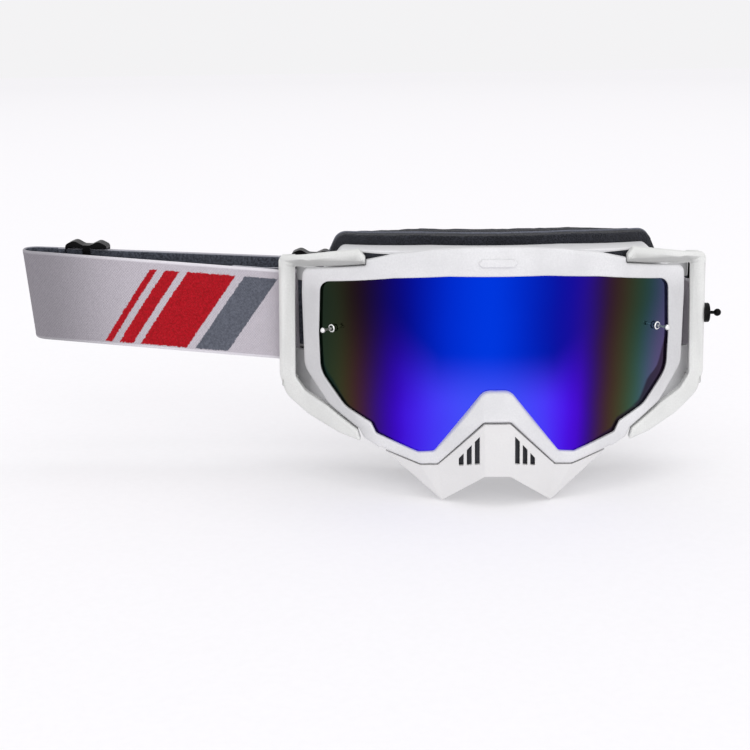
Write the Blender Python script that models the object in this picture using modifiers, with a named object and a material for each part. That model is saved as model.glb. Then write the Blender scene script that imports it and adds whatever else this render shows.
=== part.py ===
"""Off-road riding goggles with outriggers, a mirrored lens, a nose guard and a folded strap.

Metres, +Z up. The goggles face -Y and the wearer's face is at +Y.
Left and right are as seen from the front.
The origin is in the middle of the face seal, where a head holds the goggles.
"""

import math

import bmesh
import bpy
from mathutils import Matrix, Vector

# Driving dimensions
STRAP_WIDTH = 0.045
FRONT_RADIUS = 0.117
FRONT_Y = -0.040
ARC_HALF_WIDTH = 0.080
DEPTH = 0.047
FACE_FLATTENING = 0.2
GAP = 0.0003
SMALLEST_RADIUS = 0.0003

# Depths behind the front surface, which each piece keeps all the way round
RIM_FRONT, RIM_BACK = -0.001, 0.005
LENS_FRONT, LENS_BACK = 0.0012, 0.0024
LIP_BACK = LENS_FRONT - GAP
LENS_OVERLAP, LIP_STEP = 0.0025, 0.0004
CHASSIS_FRONT, CHASSIS_BACK = RIM_BACK + GAP, 0.024
FOAM_BASE_BACK, FOAM_MIDDLE_BACK = 0.034, 0.044
OUTRIGGER_FRONT, OUTRIGGER_BACK = -0.0025, 0.004

# The nose ridge: the rim's front rises towards the middle and downwards
RIDGE_HALF_WIDTH, RIDGE_FOOT = 0.006, 0.030
RIDGE_START_Z, RIDGE_FULL_Z = -0.004, -0.021
RIDGE_HEIGHT = 0.005

# Where the bent pieces are cut into upright strips
STRIP_WIDTH = 0.010
STRIP_EDGES = sorted(
    side * x
    for side in (-1, 1)
    for x in [RIDGE_HALF_WIDTH] + [STRIP_WIDTH * step for step in range(1, 12)]
)

# Rear frame: the vents over the brow, the side windows, the lugs that meet the outriggers
VENT_INNER_X, VENT_OUTER_X, VENT_FLOOR_Z, VENT_TOP_Z, VENT_BACK = 0.038, 0.066, 0.0475, 0.0516, 0.013
VENT_FOAM_TOP_Z = 0.0511
WINDOW_LOW_Z, WINDOW_HIGH_Z, WINDOW_FRONT, WINDOW_BACK = -0.002, 0.028, 0.009, 0.020
WINDOW_INNER_X, WINDOW_OUTER_X = 0.0800, 0.0900
WINDOW_FOAM_INNER_X, WINDOW_FOAM_OUTER_X = 0.0828, 0.0852
LUG_INNER_X, LUG_OUTER_X = 0.0800, 0.0939
LUG_LOW_Z, LUG_HIGH_Z = 0.0345, 0.0412
LUG_FRONT, LUG_BACK = 0.0085, 0.0165
WING_FRONT, WING_BACK = 0.0100, 0.0135
JOIN_OVERLAP = 0.001

# Top corners of the first foam layer and of the layers on it, and how far those lie inside their outline
BASE_FOAM_TOP = ((0.0350, 0.0587, 0.060), (0.0735, 0.0570, 0.0070))
FACE_FOAM_TOP = ((0.0350, 0.0603, 0.060), (0.0690, 0.0560, 0.0090))
FOAM_MIDDLE_GROWTH, FLEECE_GROWTH = -0.0010, -0.0014

# Nose guard: corners of its right half, its vent slots, and the pegs that hold it in the rear frame
GUARD_THICKNESS = 0.0025
GUARD_CORNERS = {
    "top": (0.0058, -0.0459, -0.0227),
    "cheek_inner": (0.0269, -0.0380, -0.0440),
    "cheek": (0.0349, -0.0357, -0.0448),
    "end": (0.0512, -0.0275, -0.0400),
    "tip": (0.0250, -0.0395, -0.0605),
    "bottom": (0.0058, -0.0479, -0.0468),
}
GUARD_SLOT_XS, GUARD_SLOT_WIDTH = (0.0080, 0.0116, 0.0152), 0.0022
GUARD_SLOT_TOPS = ((0.0080, -0.0285), (0.0180, -0.0404))
GUARD_SLOT_BOTTOMS = ((0.0080, -0.0413), (0.0180, -0.0433))
GUARD_SLOT_FRONT_Y, GUARD_SLOT_BACK_Y = -0.060, -0.020
INSERT_THICKNESS, INSERT_SHRINK = 0.0010, 0.18
PEG_X, PEG_Z, PEG_RADIUS, PEG_CLEARANCE = 0.0310, -0.0472, 0.0013, 0.0004
PEG_FRONT_Y, PEG_BACK_Y, PEG_HOLE_BACK_Y = -0.0358, -0.0240, -0.0225

# Brow badge: a small plain plate over the nose
BADGE_HALF_WIDTH, BADGE_SLANT, BADGE_THICKNESS = 0.0088, 0.0018, 0.0009
BADGE_Z, BADGE_HALF_HEIGHT, BADGE_CORNER_RADIUS = 0.0501, 0.0017, 0.0006

# Lens pins and the tear-off post
PIN_X, PIN_Z = 0.0752, 0.0155
PIN_LENGTH, PIN_RADIUS, PIN_BALL_RADIUS = 0.0065, 0.0005, 0.0012
WASHER_RADIUS, WASHER_HOLE, WASHER_THICKNESS = 0.0019, 0.0009, 0.0007
POST_Z = 0.0162
POST_FLANGE_RADIUS, POST_FLANGE_THICKNESS = 0.0047, 0.0018
POST_STEM_RADIUS, POST_STEM_LENGTH, POST_BALL_RADIUS = 0.0008, 0.0042, 0.0018
POST_STAND_OFF, POST_DEPTH = 0.0012, 0.001
BALL_STEPS = 5

# Strap posts in the outriggers, and the strap round them
STRAP_POST_X, STRAP_POST_Y, STRAP_POST_RADIUS = 0.0983, 0.0235, 0.0020
EAR_TOP_Z, EAR_BOTTOM_Z, EAR_THICKNESS = 0.0406, -0.0142, 0.0040
EAR_INNER_X, EAR_OUTER_X = 0.0950, 0.1022
EAR_FRONT_Y, EAR_BACK_Y = 0.0090, 0.0275
STRAP_THICKNESS = 0.0018
STRAP_LOOP_RADIUS = 0.0034
LAYER_STEP = STRAP_THICKNESS + GAP
FOLD_X, FOLD_FRONT_Y, FOLD_BACK_Y = -0.223, 0.0295, 0.0436
BACK_END_X, BACK_END_Y = 0.070, 0.0411
SEWN_TAIL = 0.022
FRONT_HEIGHTS = ((-0.103, 0.0156), (-0.230, 0.0250))
BACK_HEIGHTS = ((-0.230, 0.0250), (0.098, 0.0092))

# Strap adjusters, in their own frame: X along the strap, Z across it
ADJUSTER_XS = {"left": -0.2025, "right": -0.0890}
ADJUSTER_HALF_LENGTH, ADJUSTER_BAR = 0.0105, 0.0028
ADJUSTER_HALF_DEPTH, CHANNEL_HALF_DEPTH = 0.0043, 0.0024
CHANNEL_HALF_HEIGHT = STRAP_WIDTH / 2 + 0.0006
CENTRE_BAR_HALF = 0.0018

# Silicone beads inside the strap
BEAD_RADIUS, BEAD_HEIGHT, BEAD_WAVE = 0.0006, 0.0090, 0.0025
BEAD_START_X, BEAD_END_X, BEAD_POINTS, BEAD_WAVE_POINTS = -0.135, -0.212, 28, 9


def colour(name, rgb, roughness, metallic=0.0):
    material = bpy.data.materials.new(name)
    material.use_nodes = True
    shader = material.node_tree.nodes["Principled BSDF"]
    shader.inputs["Base Color"].default_value = (*rgb, 1)
    shader.inputs["Roughness"].default_value = roughness
    shader.inputs["Metallic"].default_value = metallic
    material.diffuse_color = (*rgb, 1)
    return material


def clear_scene():
    for obj in list(bpy.data.objects):
        bpy.data.objects.remove(obj)


def on_line(line, x):
    """The value at x of the straight line through two (x, value) points."""
    (x0, value0), (x1, value1) = line
    return value0 + (value1 - value0) * (x - x0) / (x1 - x0)


# Outlines, in the XZ plane, clockwise as seen from the front


def arc_points(before, corner, after, steps):
    """The points of the arc that rounds a corner (x, z, radius) between its neighbours."""
    here = Vector(corner[:2])
    if not corner[2]:
        return [here]
    to_before = (Vector(before[:2]) - here).normalized()
    to_after = (Vector(after[:2]) - here).normalized()
    half_angle = to_before.angle(to_after) / 2
    reach = corner[2] / math.tan(half_angle)
    centre = here + (to_before + to_after).normalized() * (corner[2] / math.sin(half_angle))
    start, end = here + to_before * reach - centre, here + to_after * reach - centre
    return [centre + start.slerp(end, step / steps) * corner[2] for step in range(steps + 1)]


def rounded(corners, steps=3):
    """A closed outline through corners (x, z, radius), each rounded by an arc of its radius."""
    befores = corners[-1:] + corners[:-1]
    afters = corners[1:] + corners[:1]
    return [
        point
        for before, corner, after in zip(befores, corners, afters)
        for point in arc_points(before, corner, after, steps)
    ]


def rounded_path(corners, steps=4):
    """An open path through corners (x, y, radius), each inner one rounded by an arc of its radius."""
    path = [Vector(corners[0][:2])]
    for before, corner, after in zip(corners, corners[1:], corners[2:]):
        path += arc_points(before, corner, after, steps)
    return path + [Vector(corners[-1][:2])]


def both_sides(right_half):
    """The whole outline from its right half, which runs from the top to the bottom."""
    return right_half + [(-x, z, radius) for x, z, radius in reversed(right_half)]


def grown(corners, distance):
    """The clockwise outline with each edge moved out by distance, and its corner radii to match."""
    moved = []
    for before, corner, after in zip(corners[-1:] + corners[:-1], corners, corners[1:] + corners[:1]):
        here = Vector(corner[:2])
        into, out = (here - Vector(before[:2])).normalized(), (Vector(after[:2]) - here).normalized()
        normals = Vector((-into.y, into.x)), Vector((-out.y, out.x))
        place = here + (normals[0] + normals[1]) * distance / (1 + normals[0].dot(normals[1]))
        turns_right = into.x * out.y < into.y * out.x
        radius = corner[2] + (distance if turns_right else -distance)
        moved.append((*place, max(radius, SMALLEST_RADIUS)))
    return moved


def rim_outline():
    return both_sides([
        (0.0110, 0.0568, 0.020), (0.0290, 0.0556, 0.030), (0.0450, 0.0531, 0.030),
        (0.0592, 0.0493, 0.0006), (0.0588, 0.0470, 0.0010), (0.0901, 0.0417, 0.0045),
        (0.0907, 0.0300, 0.020), (0.0903, -0.0060, 0.010), (0.0785, -0.0217, 0.010),
        (0.0636, -0.0310, 0.0010), (0.0612, -0.0352, 0.0010), (0.0543, -0.0386, 0.0006),
        (0.0533, -0.0383, 0.0005), (0.0348, -0.0444, 0.0050), (0.0270, -0.0436, 0.0030),
        (0.0060, -0.0224, 0.0010),
    ])  # fmt: skip


def lens_opening():
    return both_sides([
        (0.0220, 0.0440, 0.040), (0.0460, 0.0422, 0.040), (0.0812, 0.0370, 0.0055),
        (0.0824, 0.0120, 0.040), (0.0820, -0.0065, 0.0130), (0.0700, -0.0212, 0.010),
        (0.0577, -0.0272, 0.0015), (0.0554, -0.0319, 0.0015), (0.0359, -0.0388, 0.0035),
        (0.0286, -0.0378, 0.0025), (0.0060, -0.0085, 0.0060),
    ])  # fmt: skip


def chassis_outline():
    return both_sides([
        (0.0300, 0.0546, 0.050), (0.0712, 0.0526, 0.0045), (0.0790, 0.0425, 0.0050),
        (0.0858, 0.0350, 0.0050), (0.0858, -0.0090, 0.0080), (0.0780, -0.0195, 0.0080),
        (0.0610, -0.0325, 0.0040), (0.0460, -0.0425, 0.0080), (0.0350, -0.0512, 0.0030),
        (0.0265, -0.0510, 0.0030), (0.0080, -0.0300, 0.0050),
    ])  # fmt: skip


def wing_outline():
    """The right one of the two wings that fill the gap between the cheek of the rim and the outrigger."""
    return [
        (0.0800, -0.0030, 0.0), (0.0866, -0.0030, 0.0), (0.0880, 0.0000, 0.0),
        (0.0962, 0.0000, 0.0006), (0.0962, -0.0135, 0.0004),
        (0.0945, -0.0137, 0.0004), (0.0945, -0.0170, 0.0030), (0.0905, -0.0215, 0.0060),
        (0.0800, -0.0262, 0.0080), (0.0665, -0.0338, 0.0006), (0.0615, -0.0325, 0.0006),
        (0.0700, -0.0200, 0.0),
    ]  # fmt: skip


def foam_outline(top):
    """The foam's outline, whose top corners differ from layer to layer."""
    return both_sides([
        *top, (0.0808, 0.0410, 0.0080),
        (0.0815, -0.0080, 0.0100), (0.0740, -0.0205, 0.0100), (0.0580, -0.0335, 0.0080),
        (0.0400, -0.0465, 0.0060), (0.0270, -0.0480, 0.0050), (0.0085, -0.0190, 0.0080),
    ])  # fmt: skip


def eye_opening():
    return both_sides([
        (0.0300, 0.0390, 0.040), (0.0630, 0.0350, 0.0100), (0.0690, 0.0200, 0.020),
        (0.0690, -0.0040, 0.0120), (0.0560, -0.0185, 0.0120), (0.0350, -0.0300, 0.0060),
        (0.0260, -0.0280, 0.0050), (0.0080, -0.0010, 0.0080),
    ])  # fmt: skip


def outrigger_outline():
    """The right outrigger: a claw over the brow, the strap bar, and a claw under the cheek of the rim."""
    return [
        (0.0593, 0.0476, 0.0004), (0.0594, 0.0508, 0.0010), (0.0622, 0.0542, 0.0015),
        (0.0765, 0.0512, 0.020), (0.0900, 0.0480, 0.020), (0.1023, 0.0458, 0.0028),
        (0.1036, -0.0130, 0.0080), (0.1003, -0.0222, 0.0080), (0.0890, -0.0293, 0.020),
        (0.0730, -0.0348, 0.020), (0.0626, -0.0368, 0.0008), (0.0642, -0.0315, 0.0006),
        (0.0792, -0.0226, 0.0040), (0.0900, -0.0180, 0.0040), (0.0951, -0.0120, 0.0050),
        (0.0940, 0.0421, 0.0012), (0.0900, 0.0424, 0.0030),
    ]  # fmt: skip


# Solids


def meshed(guide, name, material):
    """A part made from a guide curve: its mesh in world space, with the loose caps welded."""
    bpy.context.scene.collection.objects.link(guide)
    graph = bpy.context.evaluated_depsgraph_get()
    mesh = bpy.data.meshes.new_from_object(guide.evaluated_get(graph))
    mesh.transform(guide.matrix_world)
    curve = guide.data
    bpy.data.objects.remove(guide)
    bpy.data.curves.remove(curve)
    work = bmesh.new()
    work.from_mesh(mesh)
    bmesh.ops.remove_doubles(work, verts=work.verts, dist=1e-6)
    bmesh.ops.recalc_face_normals(work, faces=work.faces)
    work.to_mesh(mesh)
    work.free()
    return placed(name, mesh, material)


def placed(name, mesh, material):
    mesh.name = name
    mesh.materials.clear()
    mesh.materials.append(material)
    part = bpy.data.objects.new(name, mesh)
    PARTS.objects.link(part)
    return part


def flat_curve(name, outlines, thickness):
    curve = bpy.data.curves.new(name, "CURVE")
    curve.dimensions = "2D"
    curve.fill_mode = "BOTH"
    curve.extrude = thickness / 2
    for outline in outlines:
        spline = curve.splines.new("POLY")
        spline.points.add(len(outline) - 1)
        spline.use_cyclic_u = True
        for point, place in zip(spline.points, outline):
            point.co = (*place, 0, 1)
    return bpy.data.objects.new(name, curve)


def slab(name, outlines, front, back, material):
    """An upright plate from y = front to y = back: the first outline less the others, corners rounded."""
    guide = flat_curve(name, [rounded(corners) for corners in outlines], back - front)
    middle = Matrix.Translation((0, (front + back) / 2, 0))
    guide.matrix_world = middle @ Matrix.Rotation(math.pi / 2, 4, "X")
    return meshed(guide, name, material)


def box(name, low, high, material):
    low, high = Vector(low), Vector(high)
    work = bmesh.new()
    bmesh.ops.create_cube(work, size=1)
    bmesh.ops.scale(work, vec=high - low, verts=work.verts)
    bmesh.ops.translate(work, vec=(low + high) / 2, verts=work.verts)
    mesh = bpy.data.meshes.new(name)
    work.to_mesh(mesh)
    work.free()
    return placed(name, mesh, material)


def mirrored_mesh(part):
    """The mesh of the part on the other side of the X = 0 plane."""
    mesh = part.data.copy()
    mesh.transform(Matrix.Diagonal((-1, 1, 1, 1)))
    mesh.flip_normals()
    return mesh


def combined(part, other, operation):
    """Joins the other object to the part, or cuts it out, and removes it."""
    modifier = part.modifiers.new("Combine", "BOOLEAN")
    modifier.operation = operation
    modifier.object = other
    graph = bpy.context.evaluated_depsgraph_get()
    mesh = bpy.data.meshes.new_from_object(part.evaluated_get(graph))
    part.modifiers.remove(modifier)
    part.data = mesh
    bpy.data.objects.remove(other)


def on_both_sides(part, make, operation):
    """Joins or cuts the same piece on each side: make(side) returns it for side -1 or 1."""
    for side in (-1, 1):
        combined(part, make(side), operation)


# Bending round the face


def arc_back(x):
    """How far the front surface lies behind its middle at x: an arc that runs on straight."""
    along = min(abs(x), ARC_HALF_WIDTH)
    drop = math.sqrt(FRONT_RADIUS**2 - along**2)
    return FRONT_RADIUS - drop + (abs(x) - along) * along / drop


def front_back(x):
    """The arc as straight chords between the strip edges, so that each strip is flat."""
    low = math.floor(abs(x) / STRIP_WIDTH) * STRIP_WIDTH
    share = (abs(x) - low) / STRIP_WIDTH
    return arc_back(low) * (1 - share) + arc_back(low + STRIP_WIDTH) * share


def wrapped_y(x, depth):
    """The y of a point at x, depth behind the front surface."""
    return FRONT_Y + depth + front_back(x) * (1 - FACE_FLATTENING * max(depth, 0) / DEPTH)


def ridge(x, z):
    across = (RIDGE_FOOT - abs(x)) / (RIDGE_FOOT - RIDGE_HALF_WIDTH)
    down = (RIDGE_START_Z - z) / (RIDGE_START_Z - RIDGE_FULL_Z)
    return RIDGE_HEIGHT * min(max(across, 0), 1) * min(max(down, 0), 1)


def wrap(part, with_ridge=False):
    """Cuts a flat piece into upright strips and bends it round the face."""
    work = bmesh.new()
    work.from_mesh(part.data)
    bmesh.ops.dissolve_limit(work, angle_limit=0.001, verts=work.verts, edges=work.edges)
    planes = [((x, 0, 0), (1, 0, 0)) for x in STRIP_EDGES]
    if with_ridge:
        planes += [((0, 0, z), (0, 0, 1)) for z in (RIDGE_START_Z, RIDGE_FULL_Z)]
    for place, normal in planes:
        geometry = work.verts[:] + work.edges[:] + work.faces[:]
        bmesh.ops.bisect_plane(work, geom=geometry, dist=1e-6, plane_co=place, plane_no=normal)
    for vertex in work.verts:
        x, depth, z = vertex.co
        vertex.co.y = wrapped_y(x, depth)
        if with_ridge and depth < RIM_FRONT + GAP:
            vertex.co.y -= ridge(x, z)
    bmesh.ops.triangulate(work, faces=work.faces, ngon_method="EAR_CLIP")
    work.to_mesh(part.data)
    work.free()


# The frame and the lens


def make_front_frame(material):
    frame = slab("front_frame", [rim_outline(), lens_opening()], RIM_FRONT, RIM_BACK, material)
    seat = grown(lens_opening(), LENS_OVERLAP + GAP)
    combined(frame, slab("lens_seat", [seat], LIP_BACK, RIM_BACK + GAP, material), "DIFFERENCE")
    wrap(frame, with_ridge=True)


def make_lens(material):
    lens = slab("lens", [grown(lens_opening(), LENS_OVERLAP)], LENS_FRONT, LENS_BACK, material)
    wrap(lens)


def mirrored_box(name, side, low, high, material):
    """A box given for the right side, put on side -1 or 1."""
    xs = sorted((side * low[0], side * high[0]))
    return box(name, (xs[0], *low[1:]), (xs[1], *high[1:]), material)


def rod(name, place, radius, length, axis, material, sides=12):
    """A cylinder that starts at place and runs along axis."""
    work = bmesh.new()
    turn = Vector((0, 0, 1)).rotation_difference(Vector(axis)).to_matrix().to_4x4()
    middle = Matrix.Translation(Vector(place) + Vector(axis).normalized() * length / 2)
    bmesh.ops.create_cone(
        work, cap_ends=True, segments=sides, radius1=radius, radius2=radius, depth=length,
        matrix=middle @ turn,
    )  # fmt: skip
    mesh = bpy.data.meshes.new(name)
    work.to_mesh(mesh)
    work.free()
    return placed(name, mesh, material)


def make_rear_frame(material):
    frame = slab("rear_frame", [chassis_outline(), lens_opening()], CHASSIS_FRONT, CHASSIS_BACK, material)
    retainer = [grown(lens_opening(), LENS_OVERLAP), grown(lens_opening(), -LIP_STEP)]
    lap = slab("lens_retainer", retainer, LENS_BACK + GAP, CHASSIS_FRONT + JOIN_OVERLAP, material)
    combined(frame, lap, "UNION")
    on_both_sides(frame, lambda side: mirrored_box(
        "top_vent", side, (VENT_INNER_X, CHASSIS_FRONT - JOIN_OVERLAP, VENT_FLOOR_Z),
        (VENT_OUTER_X, VENT_BACK, VENT_TOP_Z), material), "DIFFERENCE")  # fmt: skip
    on_both_sides(frame, lambda side: mirrored_box(
        "side_window", side, (WINDOW_INNER_X, WINDOW_FRONT, WINDOW_LOW_Z),
        (WINDOW_OUTER_X, WINDOW_BACK, WINDOW_HIGH_Z), material), "DIFFERENCE")  # fmt: skip
    on_both_sides(frame, lambda side: mirrored_box(
        "lug", side, (LUG_INNER_X, LUG_FRONT, LUG_LOW_Z),
        (LUG_OUTER_X, LUG_BACK, LUG_HIGH_Z), material), "UNION")  # fmt: skip
    on_both_sides(frame, lambda side: slab(
        "wing", [[(side * x, z, radius) for x, z, radius in wing_outline()]],
        WING_FRONT, WING_BACK, material), "UNION")  # fmt: skip
    wrap(frame)
    on_both_sides(frame, lambda side: rod(
        "peg_hole", (side * PEG_X, PEG_FRONT_Y, PEG_Z), PEG_RADIUS + PEG_CLEARANCE,
        PEG_HOLE_BACK_Y - PEG_FRONT_Y, (0, 1, 0), material), "DIFFERENCE")  # fmt: skip


def make_vent_foams(material):
    for side, name in ((-1, "left"), (1, "right")):
        top = mirrored_box(
            f"vent_foam_top_{name}", side, (VENT_INNER_X + GAP, CHASSIS_FRONT, VENT_FLOOR_Z + GAP),
            (VENT_OUTER_X - GAP, VENT_BACK - GAP, VENT_FOAM_TOP_Z), material)  # fmt: skip
        wrap(top)
        window = mirrored_box(
            f"vent_foam_side_{name}", side, (WINDOW_FOAM_INNER_X, WINDOW_FRONT + GAP, WINDOW_LOW_Z + GAP),
            (WINDOW_FOAM_OUTER_X, WINDOW_BACK - GAP, WINDOW_HIGH_Z - GAP), material)  # fmt: skip
        wrap(window)


def make_foam(base, fleece):
    layers = (
        ("foam_base", CHASSIS_BACK, FOAM_BASE_BACK, BASE_FOAM_TOP, 0.0, base),
        ("foam_middle", FOAM_BASE_BACK, FOAM_MIDDLE_BACK, FACE_FOAM_TOP, FOAM_MIDDLE_GROWTH, base),
        ("face_fleece", FOAM_MIDDLE_BACK, DEPTH, FACE_FOAM_TOP, FLEECE_GROWTH, fleece),
    )
    for name, front, back, top, growth, material in layers:
        outlines = [grown(foam_outline(top), growth), grown(eye_opening(), -growth)]
        wrap(slab(name, outlines, front + GAP, back, material))


def make_brow_badge(material):
    end_x, radius = BADGE_HALF_WIDTH - BADGE_SLANT, BADGE_CORNER_RADIUS
    top_z, bottom_z = BADGE_Z + BADGE_HALF_HEIGHT, BADGE_Z - BADGE_HALF_HEIGHT
    half = [(end_x, top_z, radius), (BADGE_HALF_WIDTH, BADGE_Z, radius), (end_x, bottom_z, radius)]
    back = RIM_FRONT - GAP
    wrap(slab("brow_badge", [both_sides(half)], back - BADGE_THICKNESS, back, material))


# Lens pins and the tear-off post


def lathe(name, profile, place, axis, material, steps):
    """A turned piece: its profile (radius, height) runs down the outer side, with heights from place."""
    mesh = bpy.data.meshes.new(name)
    edges = [(index, index + 1) for index in range(len(profile) - 1)]
    mesh.from_pydata([(radius, 0, height) for radius, height in profile], edges, [])
    part = placed(name, mesh, material)
    turned = part.modifiers.new("Turned", "SCREW")
    turned.steps = turned.render_steps = steps
    turned.use_merge_vertices = True
    turned.merge_threshold = 0.00001
    turn = Vector((0, 0, 1)).rotation_difference(Vector(axis)).to_matrix().to_4x4()
    part.matrix_world = Matrix.Translation(place) @ turn


def ball_ended(stem_radius, length, ball_radius, foot):
    """A profile from a ball, whose middle is at length, down its stem to the foot's points."""
    stem_angle = math.asin(stem_radius / ball_radius)
    angles = [math.pi - (math.pi - stem_angle) * step / BALL_STEPS for step in range(BALL_STEPS + 1)]
    ball = [(ball_radius * math.sin(angle), length - ball_radius * math.cos(angle)) for angle in angles]
    return [(0, length + ball_radius)] + ball[1:] + foot


def make_lens_pins(pin_material, washer_material):
    for side, name in ((-1, "left"), (1, "right")):
        lean = math.asin(PIN_X / FRONT_RADIUS)
        out = Vector((side * math.sin(lean), -math.cos(lean), 0))
        foot = Vector((side * PIN_X, wrapped_y(PIN_X, LENS_FRONT), PIN_Z)) + out * GAP * 2
        profile = ball_ended(PIN_RADIUS, PIN_LENGTH, PIN_BALL_RADIUS, [(PIN_RADIUS, 0), (0, 0)])
        lathe(f"lens_pin_{name}", profile, foot, out, pin_material, 10)
        ring = [
            (WASHER_HOLE, WASHER_THICKNESS), (WASHER_RADIUS, WASHER_THICKNESS), (WASHER_RADIUS, 0),
            (WASHER_HOLE, 0), (WASHER_HOLE, WASHER_THICKNESS),
        ]  # fmt: skip
        lathe(f"pin_washer_{name}", ring, foot + out * GAP, out, washer_material, 12)


def make_tear_off_post(material):
    radius, thickness = POST_FLANGE_RADIUS, POST_FLANGE_THICKNESS
    shoulder = [(POST_STEM_RADIUS, thickness), (radius * 0.8, thickness), (radius, thickness * 0.6)]
    length = POST_STEM_LENGTH + thickness
    profile = ball_ended(POST_STEM_RADIUS, length, POST_BALL_RADIUS, shoulder + [(radius, 0), (0, 0)])
    foot = (EAR_OUTER_X + POST_STAND_OFF, wrapped_y(EAR_OUTER_X, POST_DEPTH), POST_Z)
    lathe("tear_off_post", profile, foot, (1, 0, 0), material, 16)


# Outriggers


def make_outriggers(material, post_material):
    right = slab("outrigger_right", [outrigger_outline()], OUTRIGGER_FRONT, OUTRIGGER_BACK, material)
    wrap(right)
    for z in (EAR_TOP_Z, EAR_BOTTOM_Z - EAR_THICKNESS):
        low, high = (EAR_INNER_X, EAR_FRONT_Y, z), (EAR_OUTER_X, EAR_BACK_Y, z + EAR_THICKNESS)
        combined(right, box("ear", low, high, material), "UNION")
    placed("outrigger_left", mirrored_mesh(right), material)
    for side, name in ((-1, "left"), (1, "right")):
        rod(
            f"strap_post_{name}", (side * STRAP_POST_X, STRAP_POST_Y, EAR_BOTTOM_Z + GAP),
            STRAP_POST_RADIUS, EAR_TOP_Z - EAR_BOTTOM_Z - 2 * GAP, (0, 0, 1), post_material,
        )  # fmt: skip


# Nose guard


def guard_panels():
    """The right half of the guard's front: half the middle plate, the inner panel and the outer panel."""
    corner = {name: Vector(place) for name, place in GUARD_CORNERS.items()}
    top_middle, bottom_middle = (Vector((0, *corner[name].yz)) for name in ("top", "bottom"))
    plate = [top_middle, corner["top"], corner["bottom"], bottom_middle]
    inner = [corner["top"], corner["cheek_inner"], corner["tip"], corner["bottom"]]
    outer = [corner["cheek_inner"], corner["cheek"], corner["end"], corner["tip"]]
    return plate, inner, outer


def faceted(name, panels, sides, thickness, material):
    """A folded plate: the panels on the right, the left or both sides, with a back thickness behind."""
    work = bmesh.new()
    for panel in panels:
        for side in sides:
            work.faces.new([work.verts.new((side * x, y, z)) for x, y, z in panel])
    bmesh.ops.remove_doubles(work, verts=work.verts, dist=1e-6)
    bmesh.ops.triangulate(work, faces=work.faces)
    made = bmesh.ops.extrude_face_region(work, geom=work.faces[:], use_keep_orig=True)
    back = [item for item in made["geom"] if isinstance(item, bmesh.types.BMVert)]
    bmesh.ops.translate(work, vec=(0, thickness, 0), verts=back)
    bmesh.ops.recalc_face_normals(work, faces=work.faces)
    mesh = bpy.data.meshes.new(name)
    work.to_mesh(mesh)
    work.free()
    return placed(name, mesh, material)


def slot_outline(inner_x, side):
    """An upright slot in the inner panel, whose top follows the slope of the rim."""
    outer_x = inner_x + GUARD_SLOT_WIDTH
    tops = [(x, on_line(GUARD_SLOT_TOPS, x)) for x in (inner_x, outer_x)]
    bottoms = [(x, on_line(GUARD_SLOT_BOTTOMS, x)) for x in (outer_x, inner_x)]
    return [(side * x, z, 0) for x, z in tops + bottoms]


def make_nose_guard(material, vent_material):
    panels = guard_panels()
    guard = faceted("nose_guard", panels, (-1, 1), GUARD_THICKNESS, material)
    for x in GUARD_SLOT_XS:
        on_both_sides(guard, lambda side, x=x: slab(
            "guard_slot", [slot_outline(x, side)], GUARD_SLOT_FRONT_Y, GUARD_SLOT_BACK_Y, material),
            "DIFFERENCE")  # fmt: skip
    on_both_sides(guard, lambda side: rod(
        "peg", (side * PEG_X, PEG_FRONT_Y, PEG_Z), PEG_RADIUS, PEG_BACK_Y - PEG_FRONT_Y,
        (0, 1, 0), material), "UNION")  # fmt: skip
    middle = sum(panels[1], Vector()) / len(panels[1])
    behind = Vector((0, GUARD_THICKNESS + 2 * GAP, 0))
    insert = [corner.lerp(middle, INSERT_SHRINK) + behind for corner in panels[1]]
    for side, name in ((-1, "left"), (1, "right")):
        faceted(f"nose_guard_vent_{name}", [insert], (side,), INSERT_THICKNESS, vent_material)


# Strap


def front_y(x):
    return on_line(((-STRAP_POST_X, STRAP_POST_Y - STRAP_LOOP_RADIUS), (FOLD_X, FOLD_FRONT_Y)), x)


def back_y(x):
    """The outer of the two layers behind the goggles, between the adjusters."""
    return on_line(((FOLD_X, FOLD_BACK_Y), (BACK_END_X, BACK_END_Y)), x)


def strap_height(x, y):
    """The height of the strap's middle: it climbs from each outrigger to the fold."""
    in_back_half = x > 0 or y > (FOLD_FRONT_Y + FOLD_BACK_Y) / 2
    return on_line(BACK_HEIGHTS if in_back_half else FRONT_HEIGHTS, x)


def ribbon(path, thickness):
    """The closed outline of a band of this thickness along an open path."""
    sides = ([], [])
    for before, here, after in zip(path[:1] + path[:-1], path, path[1:] + path[-1:]):
        into = (here - before).normalized() if here != before else (after - here).normalized()
        out = (after - here).normalized() if after != here else into
        normal = Vector((-into.y - out.y, into.x + out.x)) / (1 + into.dot(out))
        for side, sign in zip(sides, (1, -1)):
            side.append(here + normal * thickness / 2 * sign)
    return sides[0] + sides[1][::-1]


def band(name, path, material):
    """A strap band: a path in plan, STRAP_WIDTH high, that climbs towards the fold."""
    guide = flat_curve(name, [ribbon(path, STRAP_THICKNESS)], STRAP_WIDTH)
    part = meshed(guide, name, material)
    for vertex in part.data.vertices:
        vertex.co.z += strap_height(vertex.co.x, vertex.co.y)


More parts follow.
